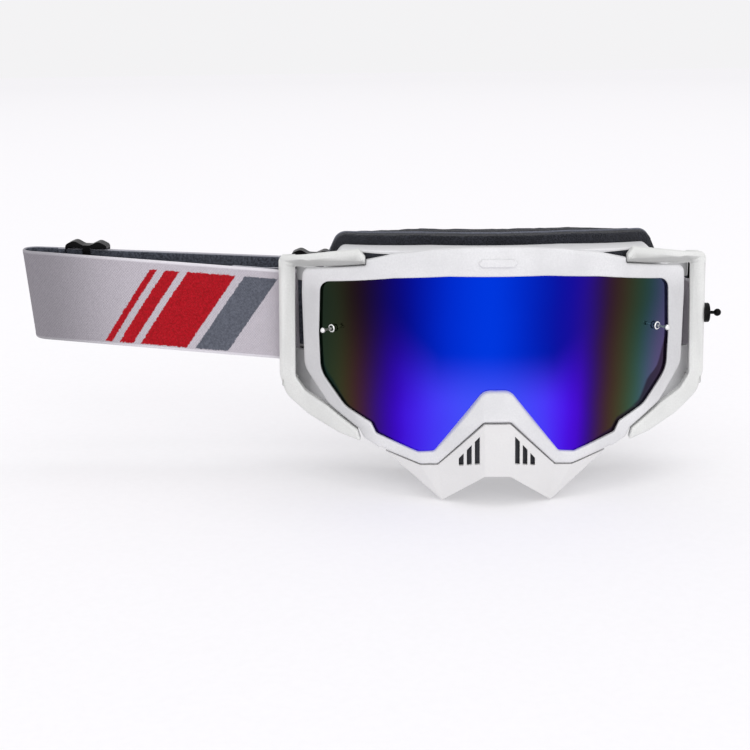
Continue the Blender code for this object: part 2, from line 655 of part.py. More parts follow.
def make_strap_front(material):
    """From its sewn tail round the left post, along the front, round the fold and back behind it."""
    loop, x, y = STRAP_LOOP_RADIUS, -STRAP_POST_X, STRAP_POST_Y
    tail_x, bend_x = x - SEWN_TAIL - 0.006, x - 0.011
    fold_radius = (FOLD_BACK_Y - FOLD_FRONT_Y) / 2
    end_x = ADJUSTER_XS["right"] + ADJUSTER_HALF_LENGTH + 0.003
    band("strap_front_band", rounded_path([
        (tail_x, front_y(tail_x) + LAYER_STEP + GAP, 0),
        (bend_x, front_y(bend_x) + LAYER_STEP + GAP, 0.004),
        (x - 0.0045, y + loop, 0.004),
        (x + loop, y + loop, loop * 0.98),
        (x + loop, y - loop, loop * 0.98),
        (x - loop, front_y(x - loop), 0.010),
        (FOLD_X - fold_radius, front_y(FOLD_X - fold_radius), fold_radius * 0.94),
        (FOLD_X - fold_radius, back_y(FOLD_X - fold_radius), fold_radius * 0.94),
        (end_x, back_y(end_x), 0),
    ]), material)  # fmt: skip


def make_strap_back(material):
    """The inner layer from the left adjuster to the right post, which it passes round to its sewn tail."""
    loop, x, y = STRAP_LOOP_RADIUS, STRAP_POST_X, STRAP_POST_Y
    start_x = ADJUSTER_XS["left"] - ADJUSTER_HALF_LENGTH - 0.0015
    band("strap_back_band", rounded_path([
        (start_x, back_y(start_x) - LAYER_STEP, 0),
        (0.0840, back_y(0.0840) - LAYER_STEP, 0.016),
        (x + loop + 0.0008, y + 0.0050, 0.008),
        (x + loop, y - loop, loop * 0.98),
        (x - loop, y - loop, loop * 0.98),
        (x - loop, y + 0.0030, 0.005),
        (0.0905, 0.0322, 0.004),
        (0.0835, 0.0355, 0),
    ]), material)  # fmt: skip


def hump_outline():
    """An adjuster's frame: two humps on the top edge with a dip between them, two low ones below."""
    return both_sides([
        (0.0018, 0.0245, 0.0025), (0.0060, 0.0267, 0.0030), (0.0105, 0.0246, 0.0020),
        (0.0105, -0.0242, 0.0020), (0.0060, -0.0250, 0.0030), (0.0018, -0.0242, 0.0025),
    ])  # fmt: skip


def make_adjusters(material):
    """Three-bar sliders: the middle bar lies before the strap, the outer bars and the rails behind it."""
    slope = math.atan((BACK_HEIGHTS[1][1] - BACK_HEIGHTS[0][1]) / (BACK_HEIGHTS[1][0] - BACK_HEIGHTS[0][0]))
    turn = math.atan((BACK_END_Y - FOLD_BACK_Y) / (BACK_END_X - FOLD_X))
    depth, channel, high = ADJUSTER_HALF_DEPTH, CHANNEL_HALF_DEPTH, CHANNEL_HALF_HEIGHT
    bar_inner, far = ADJUSTER_HALF_LENGTH - ADJUSTER_BAR, ADJUSTER_HALF_LENGTH * 3
    for name, x in ADJUSTER_XS.items():
        part = slab(f"strap_adjuster_{name}", [hump_outline()], -depth, depth, material)
        cutters = [
            ((-far, -channel, -high), (far, channel, high)),
            ((-bar_inner, channel - JOIN_OVERLAP, -high), (bar_inner, far, high)),
            ((CENTRE_BAR_HALF, -far, -high), (far, JOIN_OVERLAP - channel, high)),
            ((-far, -far, -high), (-CENTRE_BAR_HALF, JOIN_OVERLAP - channel, high)),
        ]
        for low, top in cutters:
            combined(part, box("channel", low, top, material), "DIFFERENCE")
        y = back_y(x) - LAYER_STEP / 2
        place = Vector((x, y, strap_height(x, FOLD_BACK_Y)))
        lean = Matrix.Rotation(turn, 4, "Z") @ Matrix.Rotation(-slope, 4, "Y")
        part.matrix_world = Matrix.Translation(place) @ lean


def make_grip_beads(material):
    """Wavy silicone beads on the inner face of the strap's front stretch."""
    for name, height in (("upper", BEAD_HEIGHT), ("lower", -BEAD_HEIGHT)):
        curve = bpy.data.curves.new("grip_bead", "CURVE")
        curve.dimensions = "3D"
        curve.bevel_depth = BEAD_RADIUS
        curve.bevel_resolution = 2
        curve.use_fill_caps = True
        spline = curve.splines.new("POLY")
        spline.points.add(BEAD_POINTS - 1)
        for step, point in enumerate(spline.points):
            x = BEAD_START_X + (BEAD_END_X - BEAD_START_X) * step / (BEAD_POINTS - 1)
            wave = BEAD_WAVE * math.sin(2 * math.pi * step / BEAD_WAVE_POINTS)
            y = front_y(x) + STRAP_THICKNESS / 2 + GAP + BEAD_RADIUS
            point.co = (x, y, strap_height(x, FOLD_FRONT_Y) + height + wave, 1)
        meshed(bpy.data.objects.new("grip_bead", curve), f"grip_bead_{name}", material)


def main():
    clear_scene()
    white = colour("frame_plastic", (0.72, 0.72, 0.71), 0.42)
    black = colour("black_plastic", (0.012, 0.012, 0.013), 0.35)
    mirror = colour("mirror_lens", (0.02, 0.05, 0.65), 0.06, 0.9)
    steel = colour("pin_steel", (0.75, 0.75, 0.76), 0.18, 1.0)
    foam = colour("foam", (0.022, 0.024, 0.03), 0.95)
    webbing = colour("webbing", (0.42, 0.40, 0.43), 0.9)
    silicone = colour("silicone", (0.5, 0.5, 0.5), 0.4)
    fleece = colour("fleece", (0.03, 0.032, 0.04), 0.98)
    make_front_frame(white)
    make_lens(mirror)
    make_rear_frame(white)
    make_vent_foams(foam)
    make_foam(foam, fleece)
    make_brow_badge(white)
    make_lens_pins(steel, steel)
    make_tear_off_post(black)
    make_outriggers(white, black)
    make_nose_guard(white, black)
    make_strap_front(webbing)
    make_strap_back(webbing)
    make_adjusters(black)
    make_grip_beads(silicone)


PARTS = bpy.data.collections.new("riding_goggles")
bpy.context.scene.collection.children.link(PARTS)
main()
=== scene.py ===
"""The looks of the riding goggles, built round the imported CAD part.

Metres, +Z up. The goggles face -Y, so left and right are as seen from the front.
Outlines lie in the XZ plane, and y is the depth behind the front until a piece is bent.
"""

import math

import bmesh
import bpy
from mathutils import Matrix, Vector, geometry, noise


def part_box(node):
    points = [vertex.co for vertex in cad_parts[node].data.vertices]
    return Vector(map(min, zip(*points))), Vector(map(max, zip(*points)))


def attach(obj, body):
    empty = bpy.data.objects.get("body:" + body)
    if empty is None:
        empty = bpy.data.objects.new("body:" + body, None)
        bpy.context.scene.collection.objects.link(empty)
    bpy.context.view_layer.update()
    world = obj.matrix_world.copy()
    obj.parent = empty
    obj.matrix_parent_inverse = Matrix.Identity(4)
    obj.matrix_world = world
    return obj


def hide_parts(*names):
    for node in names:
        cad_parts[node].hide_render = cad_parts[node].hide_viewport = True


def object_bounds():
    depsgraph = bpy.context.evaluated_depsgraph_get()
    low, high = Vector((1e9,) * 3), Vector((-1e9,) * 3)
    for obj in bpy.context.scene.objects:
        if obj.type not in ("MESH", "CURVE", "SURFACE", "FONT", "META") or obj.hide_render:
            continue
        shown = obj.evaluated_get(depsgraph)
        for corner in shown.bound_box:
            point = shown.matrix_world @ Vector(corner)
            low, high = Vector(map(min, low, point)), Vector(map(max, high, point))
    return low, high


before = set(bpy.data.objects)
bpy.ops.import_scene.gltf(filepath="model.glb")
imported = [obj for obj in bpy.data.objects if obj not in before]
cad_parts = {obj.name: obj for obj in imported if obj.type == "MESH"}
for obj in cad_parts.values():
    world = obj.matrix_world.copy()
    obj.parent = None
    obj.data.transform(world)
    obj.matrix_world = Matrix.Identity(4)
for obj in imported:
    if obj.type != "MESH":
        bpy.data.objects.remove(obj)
CAD_BOX = [list(corner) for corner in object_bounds()]

SIDES = ((-1, "left"), (1, "right"))

# The curve of the front, the gap between pieces, and how near joined corners are
FRONT_RADIUS, FRONT_Y, ARC_HALF_WIDTH = 0.117, -0.04, 0.08
DEPTH, FACE_FLATTENING = 0.047, 0.2
GAP = 0.0003
SMALLEST_RADIUS = 0.0002
SAME_PLACE, NEAR_PLACE = 1e-7, 1e-6

# Depths behind the front surface
RIM_FRONT, RIM_BACK = -0.001, 0.005
LENS_FRONT, LENS_BACK = 0.0012, 0.0024
LENS_OVERLAP, LIP_STEP = 0.0025, 0.0004
CHASSIS_FRONT, CHASSIS_BACK = RIM_BACK + GAP, 0.024
FOAM_BASE_BACK, FOAM_MIDDLE_BACK = 0.034, 0.044
OUTRIGGER_FRONT, OUTRIGGER_BACK = -0.0025, 0.004

# The nose ridge, and the brow that leans back over the lens
RIDGE_HALF_WIDTH, RIDGE_FOOT, RIDGE_HEIGHT = 0.006, 0.03, 0.005
RIDGE_START_Z, RIDGE_FULL_Z = -0.004, -0.021
BROW_START_Z, BROW_TOP_Z, BROW_LEAN = 0.045, 0.0568, 0.0016

# Rear frame
VENT_INNER_X, VENT_OUTER_X, VENT_FLOOR_Z, VENT_TOP_Z = 0.038, 0.066, 0.0475, 0.0521
VENT_FRONT, VENT_BACK, VENT_FOAM_TOP_Z = 0.0, 0.013, 0.0518
WINDOW_LOW_Z, WINDOW_HIGH_Z, WINDOW_FRONT, WINDOW_BACK = -0.002, 0.028, 0.009, 0.02
WINDOW_INNER_X, WINDOW_OUTER_X = 0.08, 0.09
WINDOW_FOAM_INNER_X, WINDOW_FOAM_OUTER_X = 0.0828, 0.0852
LUG_INNER_X, LUG_OUTER_X, LUG_FRONT, LUG_BACK = 0.08, 0.0939, 0.0085, 0.0165
LUG_LOW_Z, LUG_HIGH_Z = 0.0345, 0.0412
WING_FRONT, WING_BACK = 0.01, 0.0135
PEG_X, PEG_Z, PEG_RADIUS, PEG_FRONT_Y, PEG_HOLE_BACK_Y = 0.031, -0.0472, 0.0017, -0.0358, -0.0225

# Top corners of the first foam layer and of the others in millimetres, and how much those shrink
BASE_FOAM_TOP = ((35, 58.7, 60), (73.5, 57, 7))
FACE_FOAM_TOP = ((35, 60.3, 60), (70.5, 57.2, 9))
FOAM_MIDDLE_GROWTH, FLEECE_GROWTH = -0.001, -0.0014
PIPING_RADIUS = 0.0008

# Unevenness of the soft pieces as (height, scale, the seed's step from layer to layer), and its
# noise's roughness, lacunarity and octaves
PAD_WAVE, FOAM_WAVES = (0.00015, 900.0, 0.0), ((0.00025, 160.0, 7.0), (0.00012, 1500.0, 3.0))
NOISE_KIND = (1, 2, 3)

# The crease along the claw over the brow, and the facet below it
CREASE_START, CREASE_END, CREASE_FADE_X = (0.0595, 0.0494), (0.094, 0.0459), 0.0975
FACET_SLOPE, FACET_BACK, FACET_LOW_Z, FACET_CUTS, FACET_CUT = 1.1, 0.002, 0.038, 4, 0.0009

# How much painted shade darkens the wings and lugs, the rim's upright sides and the claws' facets,
# and how much wear and painted highlight lighten edges and faces. Each side of the rim is darker
# above a z and beyond an x.
WING_SHADE_X, WING_SHADE, LIT_WING_SHADE = 0.0865, 2.8, 0.8
LEFT_SIDE, RIGHT_SIDE, SIDE_HIGH_Z, SIDE_FADE = (-0.04, 0.06), (-0.022, 0.076), 0.04, 0.01
SIDE_SHADE, FACET_SHADE, SHADE_STRENGTH, SHADE_TONE = 1.2, 2.4, 0.22, 0.3
EDGE_WEAR_AND_HIGHLIGHT, FACE_WEAR_AND_HIGHLIGHT = 1.0, 0.3

# Outrigger ears, brow badge, lens pins and the tear-off post
EAR_INNER_X, EAR_OUTER_X, EAR_FRONT_Y, EAR_BACK_Y = 0.095, 0.1022, 0.009, 0.0275
EAR_HEIGHTS, EAR_ROUNDING = ((0.0406, 0.0446), (-0.0182, -0.0142)), 0.0009
BADGE_RISE, BADGE_DEPTH = 0.0009, 0.0004
PIN_X, PIN_Z = 0.0752, 0.0155
PIN_LENGTH, PIN_RADIUS, PIN_BALL_RADIUS = 0.0065, 0.0006, 0.0013
WASHER_RADIUS, WASHER_HOLE, WASHER_THICKNESS, WASHER_CHAMFER = 0.0019, 0.0014, 0.0007, 0.0002
POST_FLANGE_RADIUS, POST_FLANGE_THICKNESS, POST_COLLAR = 0.0047, 0.0018, 0.0006
POST_STEM_RADIUS, POST_STEM_LENGTH, POST_BALL_RADIUS = 0.0008, 0.0042, 0.0018

# Strap
STRAP_WIDTH, STRAP_THICKNESS, CAD_THICKNESS = 0.0448, 0.0016, 0.0018
STRAP_POST_X, STRAP_POST_Y, STRAP_LOOP_RADIUS = 0.0983, 0.0235, 0.0034
LAYER_STEP = CAD_THICKNESS + GAP
FOLD_X, FOLD_FRONT_Y, FOLD_BACK_Y = -0.223, 0.0295, 0.0436
BACK_END_X, BACK_END_Y = 0.07, 0.0411
SEWN_TAIL = 0.022
FOLD_LEAN, LEAN_START_X = 0.085, -0.15
FRONT_HEIGHTS = ((-0.103, 0.0156), (-0.23, 0.025))
BACK_HEIGHTS = ((-0.23, 0.025), (0.098, 0.0092))
ADJUSTER_HALF_LENGTH = 0.0105
BEAD_RADIUS, BEAD_HEIGHT, BEAD_WAVE, BEAD_WAVE_LENGTH = 0.0006, 0.009, 0.0025, 0.0257
CORD_HEIGHT, CORD_INSET, CORD_WIDTH = 0.00012, 0.0016, 0.0005
LOOP_FRONT_Y = 0.02

# The printed bars lean: each is (start, end) along the strap at its middle height
BAR_LEAN = 0.683
BAR_LOW, BAR_HIGH, PRINT_EDGE = -0.0205, 0.0178, 0.0002
GREY_BARS = ((0.0142, 0.0307),)
RED_BARS = ((0.035, 0.059), (0.0628, 0.07), (0.0738, 0.0774))
WEAVE_WIDTH, WEAVE_LENGTH = 0.0015, 0.0013
# Painted shade round the strap's fold: where it sits along the strap, how far it reaches and how dark
# it gets
FOLD_ALONG, FOLD_SHADE_LENGTH, FOLD_SHADE_STRENGTH = 0.122, 0.034, 0.6

# How finely the pieces are cut, and how their edges are rounded
CUT, STATION_STEP = 0.0025, 0.0012
CORNER_STEPS, PATH_STEPS, EDGE_STEPS, SECTION_STEPS = 7, 12, 4, 30
TURN_STEPS, BALL_STEPS, BEAD_POINTS = 40, 14, 150
CAD_FLAT_ANGLE, CAD_SHARP_DEGREES = 0.01, 8

# Half the width of the lens coat's colours, their shift low on the right, and their swirl
LENS_HALF, BAND_SHIFT, SWIRL = 0.085, 0.0055, 0.006

# Camera, world and floor, whose glow is (distance, strength) near the goggles and far from them
CAMERA_PLACE, CAMERA_DEGREES = (-0.039, -0.6549, 0.1529), (75.999, 0.796, 1.316)
CAMERA_LENS, SENSOR_WIDTH, CLIP_START = 67.2, 36.0, 0.01
WORLD_COLOUR = (0.9, 0.895, 0.905, 1)
FLOOR_SIZE, FLOOR_DROP, GLOW_NEAR, GLOW_FAR = 6, 0.0004, (0.4, 0.33), (5.0, 0.243)


# Outlines, clockwise as seen from the front. Their corners are (x, z, radius), in millimetres where
# they are listed and in metres once they are made.


def arc_points(before, corner, after, steps):
    """The points of the arc that rounds a corner (x, z, radius) between its neighbours."""
    here = Vector(corner[:2])
    if not corner[2]:
        return [here]
    to_before = (Vector(before[:2]) - here).normalized()
    to_after = (Vector(after[:2]) - here).normalized()
    half_angle = to_before.angle(to_after) / 2
    reach = corner[2] / math.tan(half_angle)
    centre = here + (to_before + to_after).normalized() * (corner[2] / math.sin(half_angle))
    start, end = here + to_before * reach - centre, here + to_after * reach - centre
    return [centre + start.slerp(end, step / steps) * corner[2] for step in range(steps + 1)]


def rounded(corners):
    """A closed outline through corners (x, z, radius), each rounded by an arc of its radius."""
    befores = corners[-1:] + corners[:-1]
    afters = corners[1:] + corners[:1]
    return [
        point
        for before, corner, after in zip(befores, corners, afters)
        for point in arc_points(before, corner, after, CORNER_STEPS)
    ]


def rounded_path(corners):
    """An open path through corners (x, y, radius), each inner one rounded by an arc of its radius."""
    path = [Vector(corners[0][:2])]
    for before, corner, after in zip(corners, corners[1:], corners[2:]):
        path += arc_points(before, corner, after, PATH_STEPS)
    return path + [Vector(corners[-1][:2])]


def flipped(corners):
    """The same corners on the other side."""
    return [(-x, z, radius) for x, z, radius in reversed(corners)]


def metres(corners):
    return [(x / 1000, z / 1000, radius / 1000) for x, z, radius in corners]


def both_sides(right_half):
    """The whole outline from its right half in millimetres, which runs from the top to the bottom."""
    right_half = metres(right_half)
    return right_half + flipped(right_half)


def clamped(value):
    return min(max(value, 0), 1)


def grown(corners, distance):
    """The clockwise outline with each edge moved out by distance, and its corner radii to match."""
    moved = []
    for before, corner, after in zip(corners[-1:] + corners[:-1], corners, corners[1:] + corners[:1]):
        here = Vector(corner[:2])
        into, out = (here - Vector(before[:2])).normalized(), (Vector(after[:2]) - here).normalized()
        normals = Vector((-into.y, into.x)), Vector((-out.y, out.x))
        place = here + (normals[0] + normals[1]) * distance / (1 + normals[0].dot(normals[1]))
        turns_right = into.x * out.y < into.y * out.x
        radius = corner[2] + (distance if turns_right else -distance)
        moved.append((*place, max(radius, SMALLEST_RADIUS)))
    return moved


def rim_outline():
    return both_sides([
        (11, 56.8, 20), (29, 55.6, 30), (45, 53.1, 30),
        (59.2, 49.3, 0.6), (58.8, 47, 1), (90.1, 41.7, 4.5),
        (90.7, 30, 20), (90.3, -6, 10), (78.5, -21.7, 10),
        (63.6, -31, 1), (61.2, -35.2, 1), (54.3, -38.6, 0.6),
        (53.3, -38.3, 0.5), (34.8, -44.4, 5), (27, -43.6, 3),
        (6, -22.4, 1),
    ])


def lens_opening():
    return both_sides([
        (22, 44, 40), (46, 42.2, 40), (81.2, 37, 5.5),
        (82.4, 12, 40), (82, -6.5, 13), (70, -21.2, 10),
        (57.7, -27.2, 1.5), (55.4, -31.9, 1.5), (35.9, -38.8, 3.5),
        (28.6, -37.8, 2.5), (6, -8.5, 6),
    ])


def chassis_outline():
    return both_sides([
        (30, 54.6, 50), (71.2, 52.6, 4.5), (79, 42.5, 5),
        (85.8, 35, 5), (85.8, -9, 8), (78, -19.5, 8),
        (61, -32.5, 4), (46, -42.5, 8), (35, -51.2, 3),
        (26.5, -51, 3), (8, -30, 5),
    ])


def wing_outline():
    """The right one of the two wings that fill the gap between the rim's cheek and the outrigger."""
    return metres([
        (80, -3, 0), (86.6, -3, 0), (88, 0, 0),
        (96.2, 0, 0.6), (96.2, -13.5, 0.4),
        (94.5, -13.7, 0.4), (94.5, -17, 3), (90.5, -21.5, 6),
        (80, -26.2, 8), (66.5, -33.8, 0.6), (61.5, -32.5, 0.6),
        (70, -20, 0),
    ])


def foam_outline(top):
    """The foam's outline, whose top corners differ from layer to layer."""
    return both_sides([
        *top, (80.8, 41, 8),
        (81.5, -8, 10), (74, -20.5, 10), (58, -33.5, 8),
        (40, -46.5, 6), (27, -48, 5), (8.5, -19, 8),
    ])


def eye_opening():
    return both_sides([
        (30, 39, 40), (63, 35, 10), (69, 20, 20),
        (69, -4, 12), (56, -18.5, 12), (35, -30, 6),
        (26, -28, 5), (8, -1, 8),
    ])


def outrigger_outline():
    """The right outrigger: a claw over the brow, the strap bar, and a claw under the rim's cheek."""
    return metres([
        (59.3, 47.6, 0.4), (59.4, 50.8, 1), (62.2, 54.2, 1.5),
        (76.5, 51.2, 20), (90, 48, 20), (102.3, 45.8, 2.8),
        (103.6, -13, 8), (100.3, -22.2, 8), (89, -29.3, 20),
        (73, -34.8, 20), (62.6, -36.8, 0.8), (64.2, -31.5, 0.6),
        (79.2, -22.6, 4), (90, -18, 4), (95.1, -12, 5),
        (94, 42.1, 1.2), (90, 42.4, 3),
    ])


# Meshes


def edge_profile(front, back, front_round, back_round, steps):
    """(inset, depth) points that round an edge, from the front face to the back face."""
    turns = [math.pi / 2 * step / steps for step in range(steps + 1)]
    curve = [(1 - math.sin(turn), 1 - math.cos(turn)) for turn in turns]
    profile = [(front_round * inward, front + front_round * along) for inward, along in curve]
    return profile + [
        (back_round * inward, back - back_round * along) for inward, along in reversed(curve)
    ]


def join_rings(work, rings):
    """Makes the faces between each closed ring of points and the next."""
    for ring, following in zip(rings, rings[1:]):
        for index in range(len(ring)):
            after = (index + 1) % len(ring)
            work.faces.new((ring[index], ring[after], following[after], following[index]))


def walls(work, corners, growth_sign, profile):
    """The walls along an outline, a ring of points for each profile point. Returns the end rings."""
    wear_and_highlight = work.verts.layers.float["edge"]
    rings = []
    for inset, depth in profile:
        outline = rounded(grown(corners, growth_sign * inset))
        ring = [work.verts.new((x, depth, z)) for x, z in outline]
        for vertex in ring:
            # Rounded edges get more wear and painted highlight than the flat faces
            vertex[wear_and_highlight] = EDGE_WEAR_AND_HIGHLIGHT if 0 < inset else FACE_WEAR_AND_HIGHLIGHT
        rings.append(ring)
    join_rings(work, rings)
    return rings[0], rings[-1]


def distance_to(point, start, end):
    """The distance from a point to the straight line between two others."""
    nearest, share = geometry.intersect_point_line(point, start, end)
    return (point - (nearest if 0 < share < 1 else start)).length


def cap(work, rings):
    """Fills the flat face between a ring and the rings inside it."""
    pairs = [(ring[index - 1], ring[index]) for ring in rings for index in range(len(ring))]
    edges = [work.edges.get(pair) for pair in pairs]
    bmesh.ops.triangle_fill(work, use_beauty=True, use_dissolve=False, edges=edges)


def moulded(outline, openings, front, back, rounds, opening_rounds=(0, 0), steps=EDGE_STEPS):
    """A bmesh of a plate whose edges are rounded by (front, back) radii."""
    work = bmesh.new()
    work.verts.layers.float.new("edge")
    profile = edge_profile(front, back, *rounds, steps)
    ends = [walls(work, outline, -1, profile)]
    inner_profile = edge_profile(front, back, *opening_rounds, steps)
    ends += [walls(work, opening, 1, inner_profile) for opening in openings]
    cap(work, [front_ring for front_ring, _ in ends])
    cap(work, [back_ring for _, back_ring in ends])
    bmesh.ops.remove_doubles(work, verts=work.verts, dist=SAME_PLACE)
    return work


def cut(work, place, normal):
    """Cuts the mesh by a plane, so that it can bend there."""
    everything = work.verts[:] + work.edges[:] + work.faces[:]
    bmesh.ops.bisect_plane(work, geom=everything, dist=SAME_PLACE, plane_co=place, plane_no=normal)


def cut_across(work, places, axis):
    for place in places:
        cut(work, axis * place, axis)


def steps_between(low, high, step):
    return [low + step * index for index in range(1, math.ceil((high - low) / step))]


def arc_back(x):
    """How far the front surface lies behind its middle at x: an arc that runs on straight."""
    along = min(abs(x), ARC_HALF_WIDTH)
    drop = math.sqrt(FRONT_RADIUS**2 - along**2)
    return FRONT_RADIUS - drop + (abs(x) - along) * along / drop


def wrapped_y(x, depth):
    """The y of a point at x, depth behind the front surface."""
    return FRONT_Y + depth + arc_back(x) * (1 - FACE_FLATTENING * max(depth, 0) / DEPTH)


def ridge(x, z):
    across = (RIDGE_FOOT - abs(x)) / (RIDGE_FOOT - RIDGE_HALF_WIDTH)
    down = (RIDGE_START_Z - z) / (RIDGE_START_Z - RIDGE_FULL_Z)
    return RIDGE_HEIGHT * clamped(across) * clamped(down)


def brow_lean(z):
    up = clamped((z - BROW_START_Z) / (BROW_TOP_Z - BROW_START_Z))
    return BROW_LEAN * up * up


def bend(work, shape_front=False, across=False):
    """Bends a flat piece round the face. shape_front adds the rim's nose ridge and leaning brow."""
    xs = [vertex.co.x for vertex in work.verts]
    zs = [vertex.co.z for vertex in work.verts]
    cut_across(work, steps_between(min(xs), max(xs), CUT), Vector((1, 0, 0)))
    if across:
        cut_across(work, steps_between(min(zs), max(zs), CUT), Vector((0, 0, 1)))
    if shape_front:
        creases = (-RIDGE_FOOT, -RIDGE_HALF_WIDTH, RIDGE_HALF_WIDTH, RIDGE_FOOT)
        cut_across(work, creases, Vector((1, 0, 0)))
        cut_across(work, (RIDGE_START_Z, RIDGE_FULL_Z), Vector((0, 0, 1)))
        cut_across(work, steps_between(BROW_START_Z, BROW_TOP_Z, CUT), Vector((0, 0, 1)))
    for vertex in work.verts:
        x, depth, z = vertex.co
        vertex.co.y = wrapped_y(x, depth)
        if shape_front:
            share = clamped((LENS_FRONT - depth) / (LENS_FRONT - RIM_FRONT))
            vertex.co.y += share * (brow_lean(z) - ridge(x, z))


def to_mesh(work, name):
    bmesh.ops.recalc_face_normals(work, faces=work.faces)
    mesh = bpy.data.meshes.new(name)
    work.to_mesh(mesh)
    work.free()
    return mesh


def from_mesh(mesh):
    """A bmesh of a mesh, with its loose corners joined."""
    work = bmesh.new()
    work.from_mesh(mesh)
    bmesh.ops.remove_doubles(work, verts=work.verts, dist=NEAR_PLACE)
    return work


def linked(name, data):
    made = bpy.data.objects.new(name, data)
    bpy.context.scene.collection.objects.link(made)
    return made


def evaluated(made):
    """The mesh of an object with its modifiers or its curve worked out."""
    graph = bpy.context.evaluated_depsgraph_get()
    return bpy.data.meshes.new_from_object(made.evaluated_get(graph))


def piece(name, shape, material, nodes=(), body="goggles", sharp=40):
    """A visible piece of a mesh or bmesh, smooth but for its sharp edges, in place of CAD nodes."""
    mesh = to_mesh(shape, name) if isinstance(shape, bmesh.types.BMesh) else shape
    mesh.materials.clear()
    mesh.materials.append(material)
    mesh.shade_smooth()
    mesh.set_sharp_from_angle(angle=math.radians(sharp))
    made = linked(name, mesh)
    weighted = made.modifiers.new("Weighted normals", "WEIGHTED_NORMAL")
    weighted.keep_sharp = True
    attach(made, body)
    if nodes:
        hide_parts(*nodes)
    return made


def mirrored(mesh):
    other = mesh.copy()
    other.transform(Matrix.Diagonal((-1, 1, 1, 1)))
    other.flip_normals()
    return other


def helper(shape, name="helper"):
    return linked(name, to_mesh(shape, name))


def block(low, high, rounding=0.0):
    """A bmesh box between two corners, with rounded edges."""
    low, high = Vector(low), Vector(high)
    work = bmesh.new()
    bmesh.ops.create_cube(work, size=1)
    bmesh.ops.scale(work, vec=high - low, verts=work.verts)
    bmesh.ops.translate(work, vec=(low + high) / 2, verts=work.verts)
    if rounding:
        bmesh.ops.bevel(
            work, geom=work.edges[:], offset=rounding, segments=3, profile=0.5, affect="EDGES"
        )
    return work


def side_block(side, low, high, rounding=0.0):
    """A block given for the right side, put on side -1 or 1."""
    xs = sorted((side * low[0], side * high[0]))
    return block((xs[0], *low[1:]), (xs[1], *high[1:]), rounding)


def combined(shape, others, operation):
    """The mesh of a bmesh joined with, or cut by, other bmeshes."""
    base = helper(shape)
    for other in others:
        tool = helper(other)
        modifier = base.modifiers.new("Combine", "BOOLEAN")
        modifier.operation = operation
        modifier.object = tool
        base.data = evaluated(base)
        base.modifiers.clear()
        bpy.data.objects.remove(tool)
    mesh = base.data
    bpy.data.objects.remove(base)
    return from_mesh(mesh)


def turned(profile, place, axis):
    """A bmesh turned from a profile (radius, height), whose heights are up from place along axis."""
    work = bmesh.new()
    vertices = [work.verts.new((radius, 0, height)) for radius, height in profile]
    edges = [work.edges.new(pair) for pair in zip(vertices, vertices[1:])]
    geom, angle = vertices + edges, 2 * math.pi
    bmesh.ops.spin(work, geom=geom, axis=(0, 0, 1), angle=angle, steps=TURN_STEPS, use_merge=True)
    bmesh.ops.remove_doubles(work, verts=work.verts, dist=SAME_PLACE)
    turn = Vector((0, 0, 1)).rotation_difference(Vector(axis)).to_matrix().to_4x4()
    bmesh.ops.transform(work, matrix=Matrix.Translation(place) @ turn, verts=work.verts)
    return work


def ball_ended(foot, stem_radius, length, ball_radius):
    """A profile from the foot's points up a stem to a ball whose middle is at length."""
    start = math.asin(stem_radius / ball_radius)
    angles = [start + (math.pi - start) * step / BALL_STEPS for step in range(BALL_STEPS)]
    ball = [(ball_radius * math.sin(a), length - ball_radius * math.cos(a)) for a in angles]
    return foot + ball + [(0, length + ball_radius)]


def rod(place, radius, length, axis, rounding=0.0):
    """A round bar from place along axis, with rounded ends."""
    inner, outer = radius - rounding, length - rounding
    profile = [(0, 0), (inner, 0), (radius, rounding), (radius, outer), (inner, length), (0, length)]
    return turned(profile, place, axis)


def softened(work, amount, scale, seed):
    """Moves each point of a soft piece a little along its normal."""
    work.normal_update()
    for vertex in work.verts:
        place = vertex.co * scale + Vector((seed,) * 3)
        vertex.co += vertex.normal * noise.fractal(place, *NOISE_KIND) * amount


def refined(node_name, rounding):
    """A bmesh of a flat-faced CAD node, with its sharp edges rounded."""
    work = from_mesh(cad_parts[node_name].data)
    bmesh.ops.dissolve_limit(work, angle_limit=CAD_FLAT_ANGLE, verts=work.verts, edges=work.edges)
    smallest = math.radians(CAD_SHARP_DEGREES)
    sharp = [edge for edge in work.edges if edge.is_manifold and edge.calc_face_angle() > smallest]
    bmesh.ops.bevel(
        work, geom=sharp, offset=rounding, segments=3, profile=0.5, affect="EDGES", clamp_overlap=True
    )
    return work


# Materials


def srgb(red, green, blue):
    """A linear colour from sRGB values of 0 to 255."""
    channels = [value / 255 for value in (red, green, blue)]
    return (*[c / 12.92 if c <= 0.04045 else ((c + 0.055) / 1.055) ** 2.4 for c in channels], 1.0)


def node(tree, kind, inputs=None, **settings):
    """A new node, with its settings, and each input set to a value or linked to a socket."""
    made = tree.nodes.new(kind)
    for name, value in settings.items():
        setattr(made, name, value)
    for key, value in (inputs or {}).items():
        if isinstance(value, bpy.types.NodeSocket):
            tree.links.new(value, made.inputs[key])
        else:
            made.inputs[key].default_value = value
    return made


def blank(name, **values):
    """A material with its tree and its shader, whose sockets take the values."""
    material = bpy.data.materials.new(name)
    material.use_nodes = True
    tree = material.node_tree
    shader = tree.nodes["Principled BSDF"]
    for key, value in values.items():
        shader.inputs[key.replace("_", " ")].default_value = value
    return material, tree, shader


def maths(operation, first, second=0.0):
    """A Math node's result, on the tree of its first socket. The nodes below do likewise."""
    return node(first.id_data, "ShaderNodeMath", {0: first, 1: second}, operation=operation).outputs[0]


def times(first, second):
    return maths("MULTIPLY", first, second)


def plus(first, second):
    return maths("ADD", first, second)


def mixed(factor, first, second):
    inputs = {"Factor": factor, 6: first, 7: second}
    return node(factor.id_data, "ShaderNodeMix", inputs, data_type="RGBA").outputs[2]


